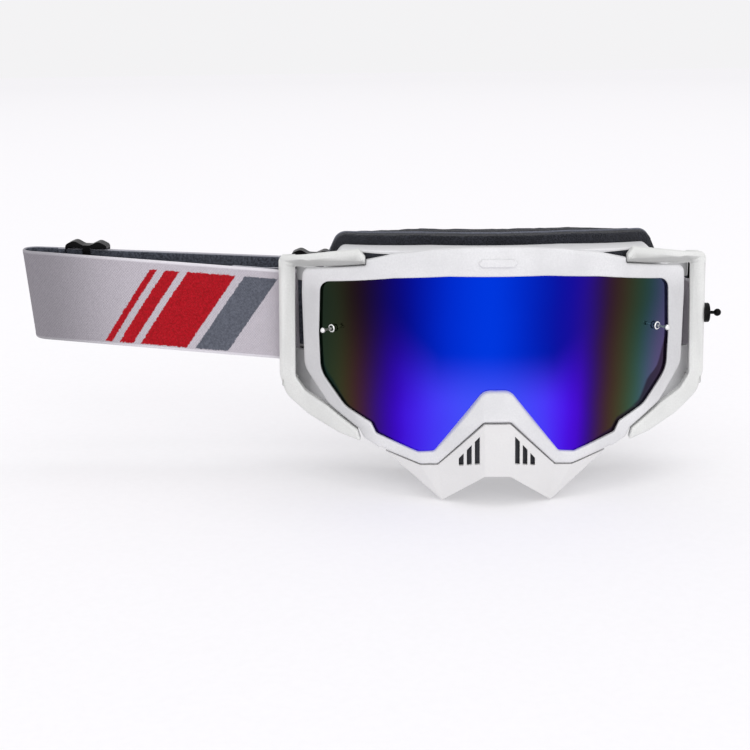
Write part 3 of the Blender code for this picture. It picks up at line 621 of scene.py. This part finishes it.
def spread(value, low, high, new_low=0.0, new_high=1.0, **settings):
    """The value taken from its range to a new one, and kept within it."""
    inputs = {"Value": value, 1: low, 2: high, 3: new_low, 4: new_high}
    return node(value.id_data, "ShaderNodeMapRange", inputs, **settings).outputs[0]


def toned(colour, share):
    return tuple(channel * share for channel in colour[:3]) + (1.0,)


def wire(shader, **sockets):
    """Links each socket to the shader's input of that name."""
    for name, socket in sockets.items():
        shader.id_data.links.new(socket, shader.inputs[name.replace("_", " ")])


def place_of(tree):
    return node(tree, "ShaderNodeTexCoord").outputs["Object"]


def grain(tree, scale, detail=2.0, roughness=0.5):
    inputs = {"Vector": place_of(tree), "Scale": scale, "Detail": detail, "Roughness": roughness}
    return node(tree, "ShaderNodeTexNoise", inputs).outputs[0]


def bump(shader, height, distance, strength=1.0):
    inputs = {"Height": height, "Distance": distance, "Strength": strength}
    wire(shader, Normal=node(shader.id_data, "ShaderNodeBump", inputs).outputs[0])


def attribute(tree, name, output="Fac"):
    return node(tree, "ShaderNodeAttribute", attribute_name=name).outputs[output]


def plastic(name, colour, edge_colour, roughness, depth=0.00006, gloss=0.45):
    """Moulded plastic: fine grain, faint clouds of colour, scuffs, edges lightened by wear and painted
    highlight, and painted shade.
    """
    material, tree, shader = blank(name, Specular_IOR_Level=gloss)
    fine, clouds = grain(tree, 1300, 3.0), grain(tree, 38.0, 4.0)
    scuffs = spread(grain(tree, 420.0, 6.0, 0.7), 0.6, 0.72)
    darker = toned(colour, 0.93)
    base = mixed(spread(clouds, 0.3, 0.7), darker, colour)
    # Edges lightened by wear and by a painted highlight, in clouds
    wear_and_highlight = times(attribute(tree, "edge"), spread(clouds, 0.35, 0.6, 0.4, 1))
    worn_and_highlighted = mixed(times(wear_and_highlight, 0.8), base, edge_colour)
    speckled = mixed(spread(fine, 0.3, 0.7, 0.0, 0.5), worn_and_highlighted, darker)
    # Painted shade where the shade attribute is set, mixed towards a dark tone of the colour
    shade = times(attribute(tree, "shade"), SHADE_STRENGTH)
    rough = spread(fine, 0.3, 0.7, roughness - 0.05, roughness + 0.05)
    wire(
        shader,
        Base_Color=mixed(shade, speckled, toned(colour, SHADE_TONE)),
        Roughness=plus(rough, times(scuffs, 0.12)),
    )
    bump(shader, plus(fine, times(scuffs, -0.4)), depth)
    return material


def ramp(factor, stops):
    """A colour ramp through (position, colour) stops."""
    made = node(factor.id_data, "ShaderNodeValToRGB", {"Fac": factor})
    elements = made.color_ramp.elements
    made.color_ramp.interpolation = "B_SPLINE"
    while len(elements) < len(stops):
        elements.new(0.5)
    for element, (position, colour) in zip(elements, stops):
        element.position = position
        element.color = colour
    return made.outputs[0]


# The lens coat's colours as (x in millimetres, red, green, blue): above, below, and in the band of
# painted shade along the rim at the cheeks
UPPER_COLOURS = (
    (-83, 18, 34, 26), (-74, 36, 46, 30), (-66, 34, 20, 16), (-58, 26, 12, 40),
    (-48, 14, 8, 102), (-36, 4, 15, 152), (-22, 1, 42, 206), (-4, 0, 60, 228),
    (10, 1, 44, 204), (24, 5, 22, 162), (34, 20, 14, 156), (41, 38, 16, 142),
    (47, 43, 20, 86), (52, 50, 27, 40), (58, 56, 42, 32), (64, 46, 58, 38),
    (70, 33, 64, 54), (76, 40, 62, 82), (82, 66, 62, 102),
)
LOWER_COLOURS = (
    (-83, 24, 46, 34), (-74, 52, 64, 38), (-66, 72, 38, 28), (-58, 54, 24, 84),
    (-50, 52, 10, 165), (-42, 66, 14, 222), (-30, 72, 52, 248), (-14, 68, 84, 251),
    (6, 62, 84, 251), (22, 78, 56, 251), (32, 76, 20, 236), (40, 72, 12, 205),
    (45, 54, 16, 145), (50, 58, 26, 84), (55, 66, 41, 42), (60, 68, 57, 38),
    (65, 60, 74, 48), (70, 52, 90, 76), (75, 68, 90, 116), (81, 96, 78, 124),
)
RIM_SHADE_COLOURS = (
    (-83, 10, 38, 34), (-66, 18, 30, 26), (-48, 34, 10, 80), (-30, 40, 20, 150),
    (30, 44, 14, 140), (48, 40, 18, 60), (62, 34, 26, 40), (83, 38, 18, 36),
)


def mirror_coat(name):
    """A mirrored lens, whose thin coat turns from blue to violet, brown and green at the sides, with a
    band of painted shade along the rim low on the sides.
    """
    material, tree, shader = blank(name, Metallic=1.0, Specular_IOR_Level=0.5)
    x, _, z = node(tree, "ShaderNodeSeparateXYZ", {0: place_of(tree)}).outputs
    swirl = times(maths("SUBTRACT", grain(tree, 22.0, 2.0), 0.5), SWIRL)
    lower_right = times(spread(x, 0.018, 0.045, 0.0, BAND_SHIFT), spread(z, 0.028, -0.038))
    across = spread(plus(plus(x, swirl), lower_right), -LENS_HALF, LENS_HALF)
    upper, lower, cheek = [
        ramp(across, [(0.5 + x / 2000 / LENS_HALF, srgb(*rgb)) for x, *rgb in colours])
        for colours in (UPPER_COLOURS, LOWER_COLOURS, RIM_SHADE_COLOURS)
    ]
    size = maths("ABSOLUTE", x)
    turn_start = spread(size, 0.026, 0.05, 0.01, 0.034)
    turn_end = spread(size, 0.026, 0.05, -0.018, -0.03)
    down = spread(z, turn_start, turn_end, interpolation_type="SMOOTHSTEP")
    # A band of painted shade along the opening's edge, low on the sides and wider on the right
    level = times(spread(z, 0.015, -0.008), spread(z, -0.01, -0.022, 1.0, 0.35))
    low = times(spread(size, 0.04, 0.052), level)
    width = times(spread(x, -0.06, 0.06, 0.0028, 0.0058), low)
    inside = maths("SUBTRACT", attribute(tree, "inset"), width)
    dark_band = spread(inside, -0.0006, 0.0004, 0.8, 0.0)
    wire(
        shader,
        Base_Color=mixed(dark_band, mixed(down, upper, lower), cheek),
        Roughness=spread(grain(tree, 60.0, 5.0, 0.65), 0.35, 0.75, 0.07, 0.16),
    )
    bump(shader, grain(tree, 30.0, 1.0), 0.00002, 0.5)
    return material


def metal(name, colour, roughness):
    material, tree, shader = blank(name, Metallic=1.0)
    scratches = grain(tree, 3500.0, 4.0, 0.7)
    wire(
        shader,
        Base_Color=mixed(scratches, colour, toned(colour, 0.85)),
        Roughness=spread(scratches, 0.3, 0.7, roughness * 0.7, roughness * 1.4),
    )
    bump(shader, scratches, 0.00001, 0.4)
    return material


def foam_material(name, colour, light, cell, depth):
    """Open foam or brushed fleece: small dark cells, lighter walls between them, and a soft sheen."""
    material, tree, shader = blank(
        name, Roughness=0.95, Sheen_Weight=0.1, Sheen_Roughness=0.5, Specular_IOR_Level=0.15
    )
    inputs = {"Vector": place_of(tree), "Scale": 1 / cell, "Randomness": 1.0}
    cells = node(tree, "ShaderNodeTexVoronoi", inputs).outputs["Distance"]
    cell_walls = spread(cells, 0.15, 0.75)
    fuzz, patches = grain(tree, 2.2 / cell, 4.0, 0.7), grain(tree, 60.0, 3.0)
    base = mixed(times(cell_walls, 0.7), colour, light)
    faded = mixed(spread(patches, 0.35, 0.7, 0.0, 0.5), base, colour)
    fuzzy = mixed(spread(fuzz, 0.45, 0.7, 0.0, 0.5), faded, light)
    wire(shader, Base_Color=fuzzy)
    bump(shader, plus(cell_walls, fuzz), depth)
    return material


def shaded_fold(cloth, along):
    """The cloth darkened round the strap's fold by painted shade."""
    away = maths("DIVIDE", maths("SUBTRACT", along, FOLD_ALONG), FOLD_SHADE_LENGTH)
    nearness = maths("EXPONENT", times(times(away, away), -1.0))
    return mixed(times(nearness, FOLD_SHADE_STRENGTH), cloth, srgb(70, 69, 74))


def bars(along, places):
    """1 on each of the bars, which are (start, end) along the strap, and 0 between them."""
    total = 0.0
    for start, end in places:
        middle, half = (start + end) / 2, (end - start) / 2
        away = maths("ABSOLUTE", maths("SUBTRACT", along, middle))
        on_bar = spread(away, half - PRINT_EDGE, half + PRINT_EDGE, 1.0, 0.0)
        total = plus(on_bar, total)
    return total


def webbing(name, printed):
    """Elastic webbing with a fine weave, plain edges, a dark brushed inner side and printed bars."""
    material, tree, shader = blank(
        name, Roughness=0.9, Sheen_Weight=0.03, Sheen_Roughness=0.5, Specular_IOR_Level=0.15
    )
    cloth_place = {0: attribute(tree, "cloth", "Vector")}
    along, up, inner_side = node(tree, "ShaderNodeSeparateXYZ", cloth_place).outputs
    warp = maths("SINE", times(up, 2 * math.pi / WEAVE_WIDTH))
    weft = maths("SINE", times(along, 2 * math.pi / WEAVE_LENGTH))
    weave = times(warp, weft)
    fuzz, mottle = grain(tree, 3200.0, 4.0, 0.7), grain(tree, 950.0, 4.0, 0.6)
    mottled = spread(mottle, 0.35, 0.65)
    light, shade = srgb(199, 193, 201), srgb(144, 139, 147)
    cloth = mixed(spread(weave, -1.0, 1.0, 0.1, 0.65), light, shade)
    cloth = mixed(spread(mottle, 0.35, 0.65, 0.0, 0.55), cloth, light)
    from_middle, half = maths("ABSOLUTE", up), STRAP_WIDTH / 2
    edge = spread(from_middle, half - 0.0016, half - 0.001, 0.0, 0.8)
    cloth = mixed(edge, cloth, srgb(226, 223, 229))
    if printed:
        # Painted shade round the fold
        cloth = shaded_fold(cloth, along)
        frayed = times(maths("SUBTRACT", mottle, 0.5), 0.0022)
        leaning = plus(plus(along, frayed), times(up, BAR_LEAN))
        height = plus(up, frayed)
        above = spread(height, BAR_LOW - PRINT_EDGE, BAR_LOW + PRINT_EDGE)
        below = spread(height, BAR_HIGH - PRINT_EDGE, BAR_HIGH + PRINT_EDGE, 1.0, 0.0)
        inside = times(above, below)
        for places, colour, deep in (
            (GREY_BARS, srgb(98, 102, 113), srgb(78, 81, 91)),
            (RED_BARS, srgb(178, 6, 26), srgb(146, 0, 12)),
        ):
            ink = mixed(mottled, colour, deep)
            cloth = mixed(times(bars(leaning, places), inside), cloth, ink)
    inner = mixed(mottled, srgb(44, 47, 55), srgb(86, 90, 101))
    rim = spread(from_middle, half - 0.0006, half - 0.0003, 0.0, 0.9)
    inner = mixed(rim, inner, srgb(150, 151, 160))
    sided = mixed(inner_side, inner, cloth)
    fuzzy = mixed(spread(fuzz, 0.45, 0.7, 0.0, 0.03), sided, light)
    wire(shader, Base_Color=fuzzy)
    bump(shader, plus(times(weave, 0.5), plus(fuzz, mottle)), 0.00014)
    return material


def silicone_material(name):
    material, tree, shader = blank(name, Transmission_Weight=0.35, IOR=1.41, Subsurface_Weight=0.2)
    dust = grain(tree, 900.0, 4.0)
    wire(
        shader,
        Base_Color=mixed(dust, srgb(196, 198, 202), srgb(170, 172, 178)),
        Roughness=spread(dust, 0.3, 0.7, 0.22, 0.42),
    )
    bump(shader, dust, 0.00002)
    return material


# Frame pieces


def make_rim(material):
    rim = moulded(
        rim_outline(), [lens_opening()], RIM_FRONT, RIM_BACK, (0.0014, 0.0008), (0.0009, 0.0)
    )
    # Painted shade on the rim's upright sides, beyond an x on each side and fading out at its top and
    # bottom z
    shade = rim.verts.layers.float.new("shade")
    for vertex in rim.verts:
        x, z = vertex.co.x, vertex.co.z
        low_z, inner_x = LEFT_SIDE if x < 0 else RIGHT_SIDE
        upright = clamped((z - low_z) / SIDE_FADE) * clamped((SIDE_HIGH_Z - z) / SIDE_FADE)
        vertex[shade] = SIDE_SHADE * upright if abs(x) > inner_x else 0.0
    bend(rim, shape_front=True)
    piece("rim_shell", rim, material, ["front_frame"])


def make_badge(material):
    """A plain six-sided plate on the brow."""
    half = [(7, 51.8, 0.6), (8.8, 50.1, 0.6), (7, 48.4, 0.6)]
    back = RIM_FRONT - GAP / 2
    plate = moulded(both_sides(half), [], back - BADGE_RISE, back + BADGE_DEPTH, (0.0004, 0.0))
    bend(plate)
    for vertex in plate.verts:
        vertex.co.y += brow_lean(vertex.co.z)
    piece("brow_plate", plate, material, ["brow_badge"])


def make_lens(material):
    opening = lens_opening()
    shield = moulded(grown(opening, LENS_OVERLAP), [], LENS_FRONT, LENS_BACK, (0.0003, 0.0003))
    bend(shield, across=True)
    inset, edge = shield.verts.layers.float.new("inset"), rounded(opening)
    for vertex in shield.verts:
        flat = Vector((vertex.co.x, vertex.co.z))
        vertex[inset] = min(distance_to(flat, *ends) for ends in zip(edge, edge[1:] + edge[:1]))
    piece("lens_shield", shield, material, ["lens"])


def make_rear_frame(material):
    opening, right_wing = lens_opening(), wing_outline()
    shell = moulded(
        chassis_outline(), [opening], CHASSIS_FRONT, CHASSIS_BACK, (0.0008, 0.0012), (0.0, 0.0008)
    )
    retainer = moulded(
        grown(opening, LENS_OVERLAP), [grown(opening, -LIP_STEP)],
        LENS_BACK + GAP, CHASSIS_FRONT + 0.001, (0.0002, 0.0))
    wings = (flipped(right_wing), right_wing)
    extras = [moulded(wing, [], WING_FRONT, WING_BACK, (0.0005, 0.0)) for wing in wings]
    low, high = (LUG_INNER_X, LUG_FRONT, LUG_LOW_Z), (LUG_OUTER_X, LUG_BACK, LUG_HIGH_Z)
    extras += [side_block(side, low, high, 0.0006) for side, _ in SIDES]
    holes, pegs = [], []
    for side, _ in SIDES:
        low, high = (VENT_INNER_X, VENT_FRONT, VENT_FLOOR_Z), (VENT_OUTER_X, VENT_BACK, VENT_TOP_Z)
        holes.append(side_block(side, low, high))
        low = (WINDOW_INNER_X, WINDOW_FRONT, WINDOW_LOW_Z)
        high = (WINDOW_OUTER_X, WINDOW_BACK, WINDOW_HIGH_Z)
        holes.append(side_block(side, low, high, 0.0015))
        place = (side * PEG_X, PEG_FRONT_Y, PEG_Z)
        pegs.append(rod(place, PEG_RADIUS, PEG_HOLE_BACK_Y - PEG_FRONT_Y, (0, 1, 0)))
    vented = combined(combined(shell, [retainer], "UNION"), holes, "DIFFERENCE")
    solid = combined(vented, extras, "UNION")
    # Painted shade on the wings and lugs beside the rim; the lower right wing is lit and gets less
    shade = solid.verts.layers.float.new("shade")
    for vertex in solid.verts:
        lit = vertex.co.x > 0 > vertex.co.z
        beside = abs(vertex.co.x) > WING_SHADE_X
        vertex[shade] = (LIT_WING_SHADE if lit else WING_SHADE) if beside else 0.0
    bend(solid)
    piece("rear_shell", combined(solid, pegs, "DIFFERENCE"), material, ["rear_frame"])


def make_vent_foams(material):
    """Thin pads of open foam in the brow vents and the side windows."""
    for side, name in SIDES:
        top = side_block(
            side, (VENT_INNER_X + GAP, CHASSIS_FRONT, VENT_FLOOR_Z + GAP),
            (VENT_OUTER_X - GAP, VENT_BACK - GAP, VENT_FOAM_TOP_Z), 0.0005)
        window = side_block(
            side, (WINDOW_FOAM_INNER_X, WINDOW_FRONT + GAP, WINDOW_LOW_Z + GAP),
            (WINDOW_FOAM_OUTER_X, WINDOW_BACK - GAP, WINDOW_HIGH_Z - GAP), 0.0005)
        for place, pad in (("top", top), ("side", window)):
            bend(pad, across=True)
            softened(pad, *PAD_WAVE)
            node_name = f"vent_foam_{place}_{name}"
            made = piece(f"vent_pad_{place}_{name}", pad, material, [node_name], sharp=80)


def make_face_foam(foam, fleece, piping):
    """Three soft layers with crowned edges, and a thin piping on the seam between the first two."""
    base_back, middle_back = FOAM_BASE_BACK, FOAM_MIDDLE_BACK
    layers = (
        ("foam_base", CHASSIS_BACK, base_back, BASE_FOAM_TOP, 0.0, 0.0022, foam, 0.9),
        ("foam_middle", base_back, middle_back, FACE_FOAM_TOP, FOAM_MIDDLE_GROWTH, 0.003, foam, 0.7),
        ("face_fleece", middle_back, DEPTH, FACE_FOAM_TOP, FLEECE_GROWTH, 0.001, fleece, 0.4),
    )
    for index, (node_name, front, back, top, growth, rounding, material, fill) in enumerate(layers):
        rounds = (rounding * 0.5, rounding)
        layer = moulded(
            grown(foam_outline(top), growth), [grown(eye_opening(), -growth)],
            front + GAP, back, rounds, rounds, steps=6)
        bend(layer, across=True)
        for height, scale, seed_step in FOAM_WAVES:
            softened(layer, height, scale, index * seed_step)
        piece(f"{node_name}_layer", layer, material, [node_name], sharp=80)
    cord, back = PIPING_RADIUS, base_back - PIPING_RADIUS * 0.2
    outer = grown(foam_outline(BASE_FOAM_TOP), cord * 0.6)
    seam = moulded(outer, [grown(outer, -2 * cord)], back - cord, back + cord, (cord, cord), steps=5)
    bend(seam, across=True)
    piece("foam_seam_piping", seam, piping, sharp=80)


def facet_arm(arm):
    """Slants the lower part of the claw over the brow back from its crease, and paints shade on that
    facet.
    """
    start, end = [Vector((x, 0, z)) for x, z in (CREASE_START, CREASE_END)]
    along = (end - start).normalized()
    normal, shade = Vector((-along.z, 0, along.x)), arm.verts.layers.float.new("shade")
    for step in range(FACET_CUTS):
        cut(arm, start - normal * step * FACET_CUT, normal)
    for vertex in arm.verts:
        x, depth, z = vertex.co
        below = (start - vertex.co).dot(normal)
        near = clamped((CREASE_FADE_X - x) / (CREASE_FADE_X - CREASE_END[0]))
        front = clamped((FACET_BACK - depth) / (FACET_BACK - OUTRIGGER_FRONT))
        if below > 0 and z > FACET_LOW_Z:
            vertex.co.y += below * FACET_SLOPE * near * front
            vertex[shade] = FACET_SHADE * near * front


def make_outriggers(material):
    arm = moulded(outrigger_outline(), [], OUTRIGGER_FRONT, OUTRIGGER_BACK, (0.0018, 0.0008), steps=6)
    facet_arm(arm)
    bend(arm)
    ears = [
        block((EAR_INNER_X, EAR_FRONT_Y, low), (EAR_OUTER_X, EAR_BACK_Y, high), EAR_ROUNDING)
        for low, high in EAR_HEIGHTS
    ]
    right = to_mesh(combined(arm, ears, "UNION"), "outrigger")
    piece("outrigger_shell_left", mirrored(right), material, ["outrigger_left"])
    piece("outrigger_shell_right", right, material, ["outrigger_right"])


def make_strap_posts(material):
    for _, name in SIDES:
        low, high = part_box(f"strap_post_{name}")
        middle = (low + high) / 2
        place, radius = (middle.x, middle.y, low.z), (high.x - low.x) / 2
        bar = rod(place, radius, high.z - low.z, (0, 0, 1), 0.0003)
        piece(f"strap_bar_{name}", bar, material, [f"strap_post_{name}"])


def make_pins(material):
    lean = math.asin(PIN_X / FRONT_RADIUS)
    profile = ball_ended([(0, 0), (PIN_RADIUS, 0)], PIN_RADIUS, PIN_LENGTH, PIN_BALL_RADIUS)
    inner, thick, chamfer = WASHER_RADIUS - WASHER_CHAMFER, WASHER_THICKNESS, WASHER_CHAMFER
    ring = [
        (WASHER_HOLE, 0), (inner, 0), (WASHER_RADIUS, chamfer),
        (WASHER_RADIUS, thick - chamfer), (inner, thick), (WASHER_HOLE, thick), (WASHER_HOLE, 0),
    ]
    for side, name in SIDES:
        out = Vector((side * math.sin(lean), -math.cos(lean), 0))
        foot = Vector((side * PIN_X, wrapped_y(PIN_X, LENS_FRONT), PIN_Z)) + out * GAP * 2
        piece(f"tear_off_pin_{name}", turned(profile, foot, out), material, [f"lens_pin_{name}"])
        washer = turned(ring, foot + out * GAP, out)
        piece(f"tear_off_washer_{name}", washer, material, [f"pin_washer_{name}"])


def make_tear_off_post(material):
    low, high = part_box("tear_off_post")
    foot = (low.x, (low.y + high.y) / 2, (low.z + high.z) / 2)
    radius, thick = POST_FLANGE_RADIUS, POST_FLANGE_THICKNESS
    flange = [(0, 0), (radius, 0), (radius, thick * 0.8), (radius * 0.95, thick)]
    stem = POST_STEM_RADIUS
    collar = [(stem + POST_COLLAR, thick), (stem, thick + POST_COLLAR)]
    profile = ball_ended(flange + collar, stem, POST_STEM_LENGTH + thick, POST_BALL_RADIUS)
    piece("tear_off_stud", turned(profile, foot, (1, 0, 0)), material, ["tear_off_post"])


def make_nose_guard(material, dark):
    shell, body = refined("nose_guard", 0.00045), "nose_guard_body"
    piece("nose_guard_shell", shell, material, ["nose_guard"], body, 60)
    for _, name in SIDES:
        insert = refined(f"nose_guard_vent_{name}", 0.0002)
        piece(f"nose_guard_mesh_{name}", insert, dark, [f"nose_guard_vent_{name}"], body)


# Strap


def on_line(line, x):
    """The value at x of the straight line through two (x, value) points."""
    (x0, value0), (x1, value1) = line
    return value0 + (value1 - value0) * (x - x0) / (x1 - x0)


def front_y(x):
    return on_line(((-STRAP_POST_X, STRAP_POST_Y - STRAP_LOOP_RADIUS), (FOLD_X, FOLD_FRONT_Y)), x)


def back_y(x):
    """The outer of the two layers behind the goggles, between the adjusters."""
    return on_line(((FOLD_X, FOLD_BACK_Y), (BACK_END_X, BACK_END_Y)), x)


def strap_height(x, y):
    """The height of the strap's middle: it climbs from each outrigger to the fold."""
    in_back_half = x > 0 or y > (FOLD_FRONT_Y + FOLD_BACK_Y) / 2
    return on_line(BACK_HEIGHTS if in_back_half else FRONT_HEIGHTS, x)


def resampled(path, step):
    """Points at even steps along a path, each with its distance from the start."""
    points, distance = [(path[0], 0.0)], 0.0
    for here, after in zip(path, path[1:]):
        length = (after - here).length
        count = max(1, round(length / step))
        for index in range(1, count + 1):
            points.append((here.lerp(after, index / count), distance + length * index / count))
        distance += length
    return points


def band_section():
    """(across, up) points round a band: flat sides, round edges and a raised cord near each edge."""
    half, thick = STRAP_WIDTH / 2, STRAP_THICKNESS / 2
    side = []
    for step in range(SECTION_STEPS + 1):
        up = -math.cos(math.pi * step / SECTION_STEPS) * half
        taper = math.sqrt(max(0.0, 1 - max(0.0, (abs(up) - half + thick) / thick) ** 2))
        cord = CORD_HEIGHT * math.exp(-(((abs(up) - half + CORD_INSET) / CORD_WIDTH) ** 2))
        side.append((thick * taper - CORD_HEIGHT + cord, up))
    return side + [(-across, up) for across, up in reversed(side[1:-1])]


def band(name, path, material, nodes, reference_x):
    """A strap band along a path in plan.

    Its cloth attribute holds the distance from reference_x, the height, and 1 on the inner side.
    """
    def off(station):
        return abs(station[0].x - reference_x) + abs(station[0].y - LOOP_FRONT_Y)

    section, stations = band_section(), resampled(path, STATION_STEP)
    origin = min(stations, key=off)[1]
    work = bmesh.new()
    cloth = work.verts.layers.float_vector.new("cloth")
    rings = []
    for index, (here, distance) in enumerate(stations):
        before, after = stations[max(index - 1, 0)][0], stations[min(index + 1, len(stations) - 1)][0]
        along = (after - before).normalized()
        normal = Vector((along.y, -along.x))
        middle = strap_height(here.x, here.y)
        ring = []
        for across, up in section:
            place = here + normal * across
            lean = FOLD_LEAN * up * clamped((LEAN_START_X - here.x) / (LEAN_START_X - FOLD_X))
            vertex = work.verts.new((place.x - lean, place.y, middle + up))
            vertex[cloth] = (distance - origin, up, 1.0 if across < 0 else 0.0)
            ring.append(vertex)
        rings.append(ring)
    join_rings(work, rings)
    for ring in (rings[0], rings[-1]):
        work.faces.new(ring)
    piece(name, work, material, nodes, sharp=70)


def make_straps(printed, plain):
    loop, x, y = STRAP_LOOP_RADIUS, -STRAP_POST_X, STRAP_POST_Y
    tail_x, bend_x = x - SEWN_TAIL - 0.006, x - 0.011
    fold_radius = (FOLD_BACK_Y - FOLD_FRONT_Y) / 2
    left_x, right_x = [
        sum(corner.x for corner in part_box(f"strap_adjuster_{n}")) / 2 for n in ("left", "right")
    ]
    end_x = right_x + ADJUSTER_HALF_LENGTH + 0.003
    front_path = rounded_path([
        (tail_x, front_y(tail_x) + LAYER_STEP + GAP, 0),
        (bend_x, front_y(bend_x) + LAYER_STEP + GAP, 0.004),
        (x - 0.0045, y + loop, 0.004),
        (x + loop, y + loop, loop * 0.98),
        (x + loop, y - loop, loop * 0.98),
        (x - loop, front_y(x - loop), 0.01),
        (FOLD_X - fold_radius, front_y(FOLD_X - fold_radius), fold_radius * 0.94),
        (FOLD_X - fold_radius, back_y(FOLD_X - fold_radius), fold_radius * 0.94),
        (end_x, back_y(end_x), 0),
    ])
    band("strap_webbing_front", front_path, printed, ["strap_front_band"], x - loop)
    x, start_x = STRAP_POST_X, left_x - ADJUSTER_HALF_LENGTH - 0.0015
    back_path = rounded_path([
        (start_x, back_y(start_x) - LAYER_STEP, 0),
        (0.084, back_y(0.084) - LAYER_STEP, 0.016),
        (x + loop + 0.0008, y + 0.005, 0.008),
        (x + loop, y - loop, loop * 0.98),
        (x - loop, y - loop, loop * 0.98),
        (x - loop, y + 0.003, 0.005),
        (0.0905, 0.0322, 0.004),
        (0.0835, 0.0355, 0),
    ])
    band("strap_webbing_back", back_path, plain, ["strap_back_band"], x)


def make_adjusters(material):
    for _, name in SIDES:
        slider = refined(f"strap_adjuster_{name}", 0.0006)
        piece(f"slider_{name}", slider, material, [f"strap_adjuster_{name}"], f"{name}_adjuster")


def make_beads(material):
    """Wavy silicone beads on the inner face of the strap's front stretch."""
    for name, height in (("upper", BEAD_HEIGHT), ("lower", -BEAD_HEIGHT)):
        low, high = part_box(f"grip_bead_{name}")
        curve = bpy.data.curves.new(f"bead_{name}", "CURVE")
        curve.dimensions = "3D"
        curve.bevel_depth = BEAD_RADIUS
        curve.bevel_resolution = 4
        curve.use_fill_caps = True
        spline = curve.splines.new("POLY")
        spline.points.add(BEAD_POINTS - 1)
        for step, point in enumerate(spline.points):
            x = high.x + (low.x - high.x) * step / (BEAD_POINTS - 1)
            wave = BEAD_WAVE * math.sin(2 * math.pi * (high.x - x) / BEAD_WAVE_LENGTH)
            y = front_y(x) + CAD_THICKNESS / 2 + BEAD_RADIUS + GAP / 3
            point.co = (x, y, strap_height(x, FOLD_FRONT_Y) + height + wave, 1)
        guide = linked("guide", curve)
        mesh = evaluated(guide)
        bpy.data.objects.remove(guide)
        piece(f"silicone_bead_{name}", from_mesh(mesh), material, [f"grip_bead_{name}"], sharp=60)


# Stage


def sun_light(name, towards, spread_degrees, strength):
    """A broad, soft, distant light that shines from the direction towards."""
    light = bpy.data.lights.new(name, "SUN")
    light.angle, light.energy = math.radians(spread_degrees), strength
    linked(name, light).rotation_euler = Vector(towards).to_track_quat("Z", "Y").to_euler()


def make_stage():
    """Pale paper that glows a little near the goggles, a pale world, and a key and a fill light."""
    work = bmesh.new()
    bmesh.ops.create_grid(work, x_segments=1, y_segments=1, size=FLOOR_SIZE)
    bmesh.ops.translate(work, vec=(0, 0, CAD_BOX[0][2] - FLOOR_DROP), verts=work.verts)
    floor = helper(work, "floor")
    material, tree, shader = blank("floor_paper", Roughness=1.0, Specular_IOR_Level=0.0)
    paper = spread(grain(tree, 300.0, 4.0), 0.3, 0.7)
    centre = {0: place_of(tree)}
    away = node(tree, "ShaderNodeVectorMath", centre, operation="LENGTH").outputs["Value"]
    shader.inputs["Emission Color"].default_value = srgb(254, 253, 255)
    (near, near_glow), (far, far_glow) = GLOW_NEAR, GLOW_FAR
    wire(
        shader,
        Base_Color=mixed(paper, srgb(204, 203, 205), srgb(202, 201, 203)),
        Emission_Strength=spread(away, near, far, near_glow, far_glow),
    )
    floor.data.materials.append(material)
    world = bpy.data.worlds.new("studio")
    world.use_nodes = True
    world.node_tree.nodes["Background"].inputs[0].default_value = WORLD_COLOUR
    bpy.context.scene.world = world
    sun_light("key", (0.25, 0.1, 1.0), 45, 0.45)
    sun_light("fill", (0.16, -1.0, 0.3), 60, 0.85)


def make_camera():
    camera = bpy.data.cameras.new("camera")
    camera.lens, camera.sensor_width = CAMERA_LENS, SENSOR_WIDTH
    camera.clip_start = CLIP_START
    view = linked("camera", camera)
    view.location = CAMERA_PLACE
    view.rotation_euler = [math.radians(angle) for angle in CAMERA_DEGREES]
    bpy.context.scene.camera = view
    bpy.context.scene.view_settings.view_transform = "Standard"


def main():
    make_camera()
    white = plastic("white_plastic", srgb(211, 211, 213), srgb(229, 229, 231), 0.42)
    warm_white = plastic("warm_white_plastic", srgb(213, 214, 212), srgb(230, 231, 229), 0.42)
    black = plastic("gloss_black", srgb(9, 9, 10), srgb(20, 20, 22), 0.36, depth=0.00001, gloss=0.08)
    make_rim(white)
    make_badge(white)
    make_lens(mirror_coat("mirror_coat"))
    make_rear_frame(white)
    foam = foam_material("open_foam", srgb(15, 16, 19), srgb(60, 62, 71), 0.0007, 0.0003)
    fleece = foam_material("brushed_fleece", srgb(26, 28, 36), srgb(64, 67, 84), 0.0005, 0.00035)
    piping = foam_material("seam_piping", srgb(84, 87, 97), srgb(124, 128, 142), 0.0005, 0.0002)
    make_vent_foams(foam)
    make_face_foam(foam, fleece, piping)
    make_outriggers(warm_white)
    make_strap_posts(black)
    make_pins(metal("polished_steel", (0.95, 0.95, 0.95, 1.0), 0.34))
    make_tear_off_post(black)
    insert = plastic("dark_plastic", srgb(66, 67, 72), srgb(80, 81, 86), 0.5, gloss=0.2)
    # A lighter copy of the white plastic for the nose guard: painted light
    lit_white = plastic("lit_white_plastic", srgb(222, 221, 221), srgb(238, 238, 237), 0.42)
    make_nose_guard(lit_white, insert)
    make_straps(webbing("printed_webbing", True), webbing("plain_webbing", False))
    make_adjusters(black)
    make_beads(silicone_material("clear_silicone"))
    make_stage()


main()
